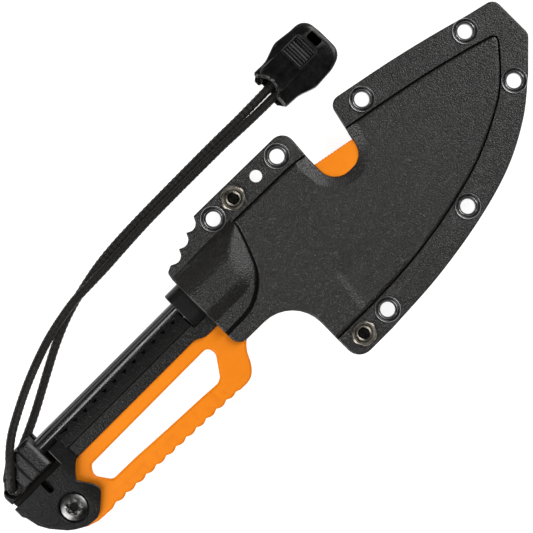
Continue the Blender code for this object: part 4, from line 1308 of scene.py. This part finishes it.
POMMEL_END = -117.3
NECK = -41.6  # where the raised band ends before the collar
BAND_SIDE = 5.0  # where the flat band ends below the ribbed one
RECESS_RADIUS = 6.6
RECESS_FLOOR = 3.6
SCALE_SLOT_FLOOR = 2.5
SCALE_SLOT = box_line(-136.6, -3.5, -133.3, 3.2, 1.6)
SCALE_LINE = even_closed([
    *POMMEL_LINE, (-46.0, -0.6), (-44.8, -0.7), (-43.0, -1.6), (-41.0, -2.7), (-39.5, -3.0),
    (-20.0, -3.0), (-20.0, 3.4), (-41.3, 3.4), (-41.3, 12.3), *rib_line(), (-117.6, 12.6),
    (-118.0, 10.6), (-123.9, 10.6), (-123.9, 2.7),
], 2.0)


def scale_top(x, y):
    """The scale's height: flat by the tang, a raised band that overhangs the rod, and the pommel."""
    band = np.interp(y, (5.1, 5.5, 9.9, 12.9), (SCALE_FLAT, SCALE_RIB, SCALE_RIB - 0.5, SCALE_RIB - 1.1))
    band = np.where(x > NECK, SCALE_FLAT, band)
    pommel = POMMEL_TOP - np.clip(-5.0 - y, 0.0, 30.0) * 0.075 - np.clip(x + 123.5, 0.0, 7.0) * 0.09
    recess = np.hypot(x - POMMEL_SCREW[0], y - POMMEL_SCREW[1])
    pommel = np.where(recess < RECESS_RADIUS, RECESS_FLOOR, pommel - np.clip(7.1 - recess, 0.0, 0.5))
    cut = depth(SCALE_SLOT, x, y)
    pommel = np.where(cut > 0.0, SCALE_SLOT_FLOOR, pommel - np.clip(cut + 0.2, 0.0, 0.2))
    z = np.where(x < POMMEL_END, pommel, band)
    away = gap(SCALE_LINE, x, y, closed=True)
    return z - edge_drop(away, np.where(x < POMMEL_END, 0.45, 0.35))


def scale_bottom(x, y):
    """The scale's inner height: on the tang, or clear of the rod under the lip."""
    z = np.where((y > 9.7) & (x > -117.0), ROD_RADIUS + 0.35, SCALE_LOW)
    return np.where((y > 9.7) & (x <= -117.0), SCALE_LOW, z)


def scale_mesh():
    creases = [
        *around(SCALE_LINE, 0.12, 0.35, 0.45),
        *[split([(POMMEL_END, y), (-41.3, y)], 1.5) for y in (4.6, 5.0, 5.25, 5.5, 9.69, 9.71, 9.9, 11.2)],
        *[[(x, -1.0), (x, 12.8)] for x in (POMMEL_END + 0.01, POMMEL_END - 0.01)],
        *[[(x, -4.0), (x, 13.0)] for x in (NECK - 0.01, NECK + 0.01)],
        *around(circle(POMMEL_SCREW, RECESS_RADIUS - 0.01, 48), 0.0, -0.02, -0.5),
        *around(SCALE_SLOT, 0.01, -0.01, -0.2),
        split([(-152.0, -5.0), (-119.0, -5.0)], 1.5),
    ]
    return plate("front_scale", [SCALE_LINE, *SCALE_HOLES], creases, scale_top, scale_bottom, 3.0)


COLLAR_HALF = 6.2
COLLAR_ROUND = 5.5
BORE_RADIUS = ROD_RADIUS + GAP


def collar_ring(x, grow):
    """A ring of the collar: a flat oblong with big rounded corners."""
    low, high = local_box("rod_collar")
    middle = (low.y + high.y) / 2
    wide = (high.y - low.y) / 2 + grow
    tall = COLLAR_HALF + grow
    corner = COLLAR_ROUND + grow
    found = []
    for k in range(96):
        angle = math.tau * k / 96
        cos, sin = math.cos(angle), math.sin(angle)
        y = middle + math.copysign(wide - corner, cos) + corner * cos
        z = math.copysign(tall - corner, sin) + corner * sin
        found.append((x, y, z))
    return found


def bar(name, x0, x1, y0, y1, z0, z1):
    """A box for cutting."""
    rings = [[(x, y0, z0), (x, y1, z0), (x, y1, z1), (x, y0, z1)] for x in (x0, x1)]
    return loft(name, rings)


def rod_pipe(name, profile):
    """A profile of (x, radius) turned about the rod's axis."""
    axis = (ROD_Y, 0.0)
    return loft(name, [[(x, y, z) for y, z in circle(axis, radius, ROUND_SIDES)] for x, radius in profile])


def collar_mesh():
    start, end = local_box("rod_collar")[0].x, local_box("rod_collar")[1].x
    steps = ((0.0, -0.45), (0.12, -0.2), (0.4, 0.0))
    rings = [collar_ring(start + far, grow) for far, grow in steps]
    rings += [collar_ring(end - 1.0, 0.0), collar_ring(end, -0.8)]
    mesh = loft("uncut_sleeve", rings)
    saddle = bar("saddle", -60.0, 0.0, -5.0, 9.8, -SCALE_LOW, SCALE_LOW)
    riser = bar("riser", -21.0, 0.0, 5.0, 20.9, -SCALE_LOW, SCALE_LOW)
    bore = rod_pipe("bore", ((start - 20.0, BORE_RADIUS), (-22.5, BORE_RADIUS)))
    pins = [turned("pin", ((PIN_HOLE, -9.0), (PIN_HOLE, 9.0)), at, steps=24) for at in COLLAR_PINS]
    return carved("rod_sleeve", mesh, saddle, riser, bore, *pins)


def in_recess(x, y, z):
    """Whether a face of the scale is in the screw's recess or in the slot."""
    near = (np.hypot(x - POMMEL_SCREW[0], y - POMMEL_SCREW[1]) < RECESS_RADIUS + 0.02) & (x < POMMEL_END)
    slot = (np.abs(x + 134.95) < 1.7) & (np.abs(y + 0.15) < 3.4)
    return (near | slot) & (np.abs(z) < 6.0)


def on_band(x, y, z):
    """Whether a face of the scale is on its flat band, outside the rod's ribs."""
    return (x > POMMEL_END + 0.1) & (y < BAND_SIDE)


def on_edge(x, y, z):
    """Whether a face of the steel is on the sharpened edge, where the coat is ground away."""
    return gap(through(BLADE_EDGE), x, y) < GROUND_WIDTH


def knife():
    mesh = blank_mesh()
    piece(mesh, ORANGE_COAT, "knife", "knife_blank")
    painted(mesh, GROUND_STEEL, on_edge)
    mesh = scale_mesh()
    back = mirrored("back_scale", mesh)
    for made, side in ((mesh, "front"), (back, "back")):
        piece(made, HANDLE_PLASTIC, "knife", f"handle_scale_{side}")
        # Painted shade on the floor of the screw's recess and in the slot
        painted(made, PAINTED_SHADE, in_recess)
        painted(made, BAND_PLASTIC, on_band)
    piece(collar_mesh(), HANDLE_PLASTIC, "knife", "rod_collar")
    head = [
        (0.8, -3.6), (2.0, -3.3), (2.0, 3.9), (5.7, 3.9), (5.9, 4.1), (5.9, 4.4), (5.6, 4.65), (4.6, 5.05),
        (3.8, 5.22), (3.62, 5.26), (3.6, 5.26),
    ]
    star_screw("pommel_bolt", POMMEL_SCREW, head, SCREW_STEEL, "knife", "pommel_screw", drive=3.0)
    barrel = [
        (2.3, 3.3), (3.0, 3.3), (3.0, -3.9), (5.7, -3.9), (5.9, -4.1), (5.9, -4.5), (5.6, -4.8),
        (4.4, -5.2), (3.3, -5.4), (3.0, -5.2), (2.7, -5.5), (2.3, -5.3),
    ]
    mesh = turned("pommel_barrel", barrel, POMMEL_SCREW, cyclic=True)
    piece(mesh, SCREW_STEEL, "knife", "pommel_nut", sharp=30)


# ---------------------------------------------------------------- fire rod

GRIP_RIBS = ((-142.4, -137.7), (-137.7, -132.8), (-132.8, -126.2))
GRIP_LINE = even_closed(rounded([
    (-152.2, 4.8, 0.6), (-125.6, 4.8, 0.8), (-125.6, 21.3, 0.8), (-133.4, 21.3, 2.0), (-140.5, 20.2, 4.0),
    (-146.5, 15.9, 8.0), (-152.1, 9.5, 4.0),
]), 1.2)
# The grip, the thin web that closes the gap to the pommel, and the web's tongue beside the tang
WEB_LINE = even_closed(rounded([
    (-151.3, 2.3, 0.2), (-123.2, 2.3, 0.2), (-123.2, 9.0, 0.2), (-123.95, 9.0), (-123.95, 20.9, 0.5),
    (-133.4, 21.3, 2.0), (-140.5, 20.2, 4.0), (-146.5, 15.9, 8.0), (-152.1, 9.5, 4.0),
]), 1.2)
LANYARD_HOLE = box_line(-149.35, 7.6, -145.15, 11.9, 2.05)
LANYARD_RECESS = box_line(-150.4, 5.9, -143.2, 14.7, 3.3)
WEB_TOP = -1.6
WEB_EDGE = (2.75, -123.95)
TONGUE = (-2.25, -2.05)


def grip_top(x, y):
    """The grip's front: a thin tab, three ramps that end in ridges, a sunk hole and the web."""
    z = np.full(len(x), 4.2)
    for start, end in GRIP_RIBS:
        climb = unit((x - start) / (end - 0.5 - start))
        fall = unit((x - end + 0.5) / 0.5)
        ramped = 4.9 + 0.3 * climb + 0.6 * soft(climb, 0.86, 1.0) - 1.1 * fall
        z = np.where((x > start) & (x <= end), ramped, z)
    edges = soft(y, 4.9, 6.0) * (1 - soft(y, 19.9, 21.2))
    z = 4.2 + (z - 4.2) * edges
    z -= edge_drop(gap(GRIP_LINE, x, y, closed=True), 0.7)
    sunk = depth(LANYARD_RECESS, x, y)
    z -= np.interp(sunk, (-0.4, 0.0, 0.25), (0.0, 0.4, 2.9))
    z = np.where(depth(GRIP_LINE, x, y) < 0.005, WEB_TOP, z)
    return np.where((y < WEB_EDGE[0]) | (x > WEB_EDGE[1]), TONGUE[1], z)


def grip_bottom(x, y):
    """The grip's back, which has the same ramps."""
    z = np.where(depth(GRIP_LINE, x, y) < 0.005, -4.0, -grip_top(x, y))
    return np.where((y < WEB_EDGE[0]) | (x > WEB_EDGE[1]), TONGUE[0], z)


def grip_mesh():
    y, x = WEB_EDGE
    across = [(a - 0.01, a + 0.01, b - 1.1, b - 0.8, b - 0.5) for a, b in GRIP_RIBS]
    creases = [
        *around(GRIP_LINE, 0.0, 0.01, 0.15, 0.4, 0.7),
        *around(LANYARD_RECESS, -0.4, 0.0, 0.25),
        *[split([(at, 4.9), (at, 21.2)], 0.8) for ramp_lines in across for at in ramp_lines],
        *[[(-151.2, y + off), (-123.3, y + off)] for off in (-0.01, 0.01)],
        *[[(x + off, 2.4), (x + off, 8.95)] for off in (-0.01, 0.01)],
    ]
    return plate("ribbed_grip", [WEB_LINE, LANYARD_HOLE], creases, grip_top, grip_bottom, 0.9)


def on_web(x, y, z):
    """Whether a face of the grip is on the thin web before the pommel."""
    return (z < WEB_TOP + 0.1) & (y < 4.79) & (x < -124.0)


def fire_rod():
    start, end = local_box("fire_rod")[0].x, local_box("fire_rod")[1].x
    profile = [
        (start, 3.3), (start + 0.6, ROD_RADIUS), (end - 0.9, ROD_RADIUS), (end - 0.3, 3.75), (end, 3.2),
        (end, 1.0), (end - 0.6, 0.5),
    ]
    rod = piece(rod_pipe("striking_rod", profile), ROD_BLACK, "fire_rod", "fire_rod", sharp=25)
    only_on(soft_box("light_over_rod", (-0.165, 0.03, 1.3), (1.1, 0.085), 1.9), rod)
    only_on(soft_box("light_beside_rod", (-0.1, 0.9, 0.5), (1.2, 0.5), 1.8), rod)
    mesh = grip_mesh()
    piece(mesh, HANDLE_PLASTIC, "fire_rod", "rod_grip")
    # Painted shade on the web, which lies deep in the gap before the pommel
    painted(mesh, PAINTED_SHADE, on_web)


# ---------------------------------------------------------------- the whole


def carried_over():
    """The hidden pins keep their CAD shape and get the screw's steel."""
    for name in ("collar_pin_1", "collar_pin_2", "scale_pin"):
        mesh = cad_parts[name].data
        mesh.materials.clear()
        mesh.materials.append(SCREW_STEEL)


camera()
lanyard()
studio()
ground()
sheath()
knife()
fire_rod()
carried_over()
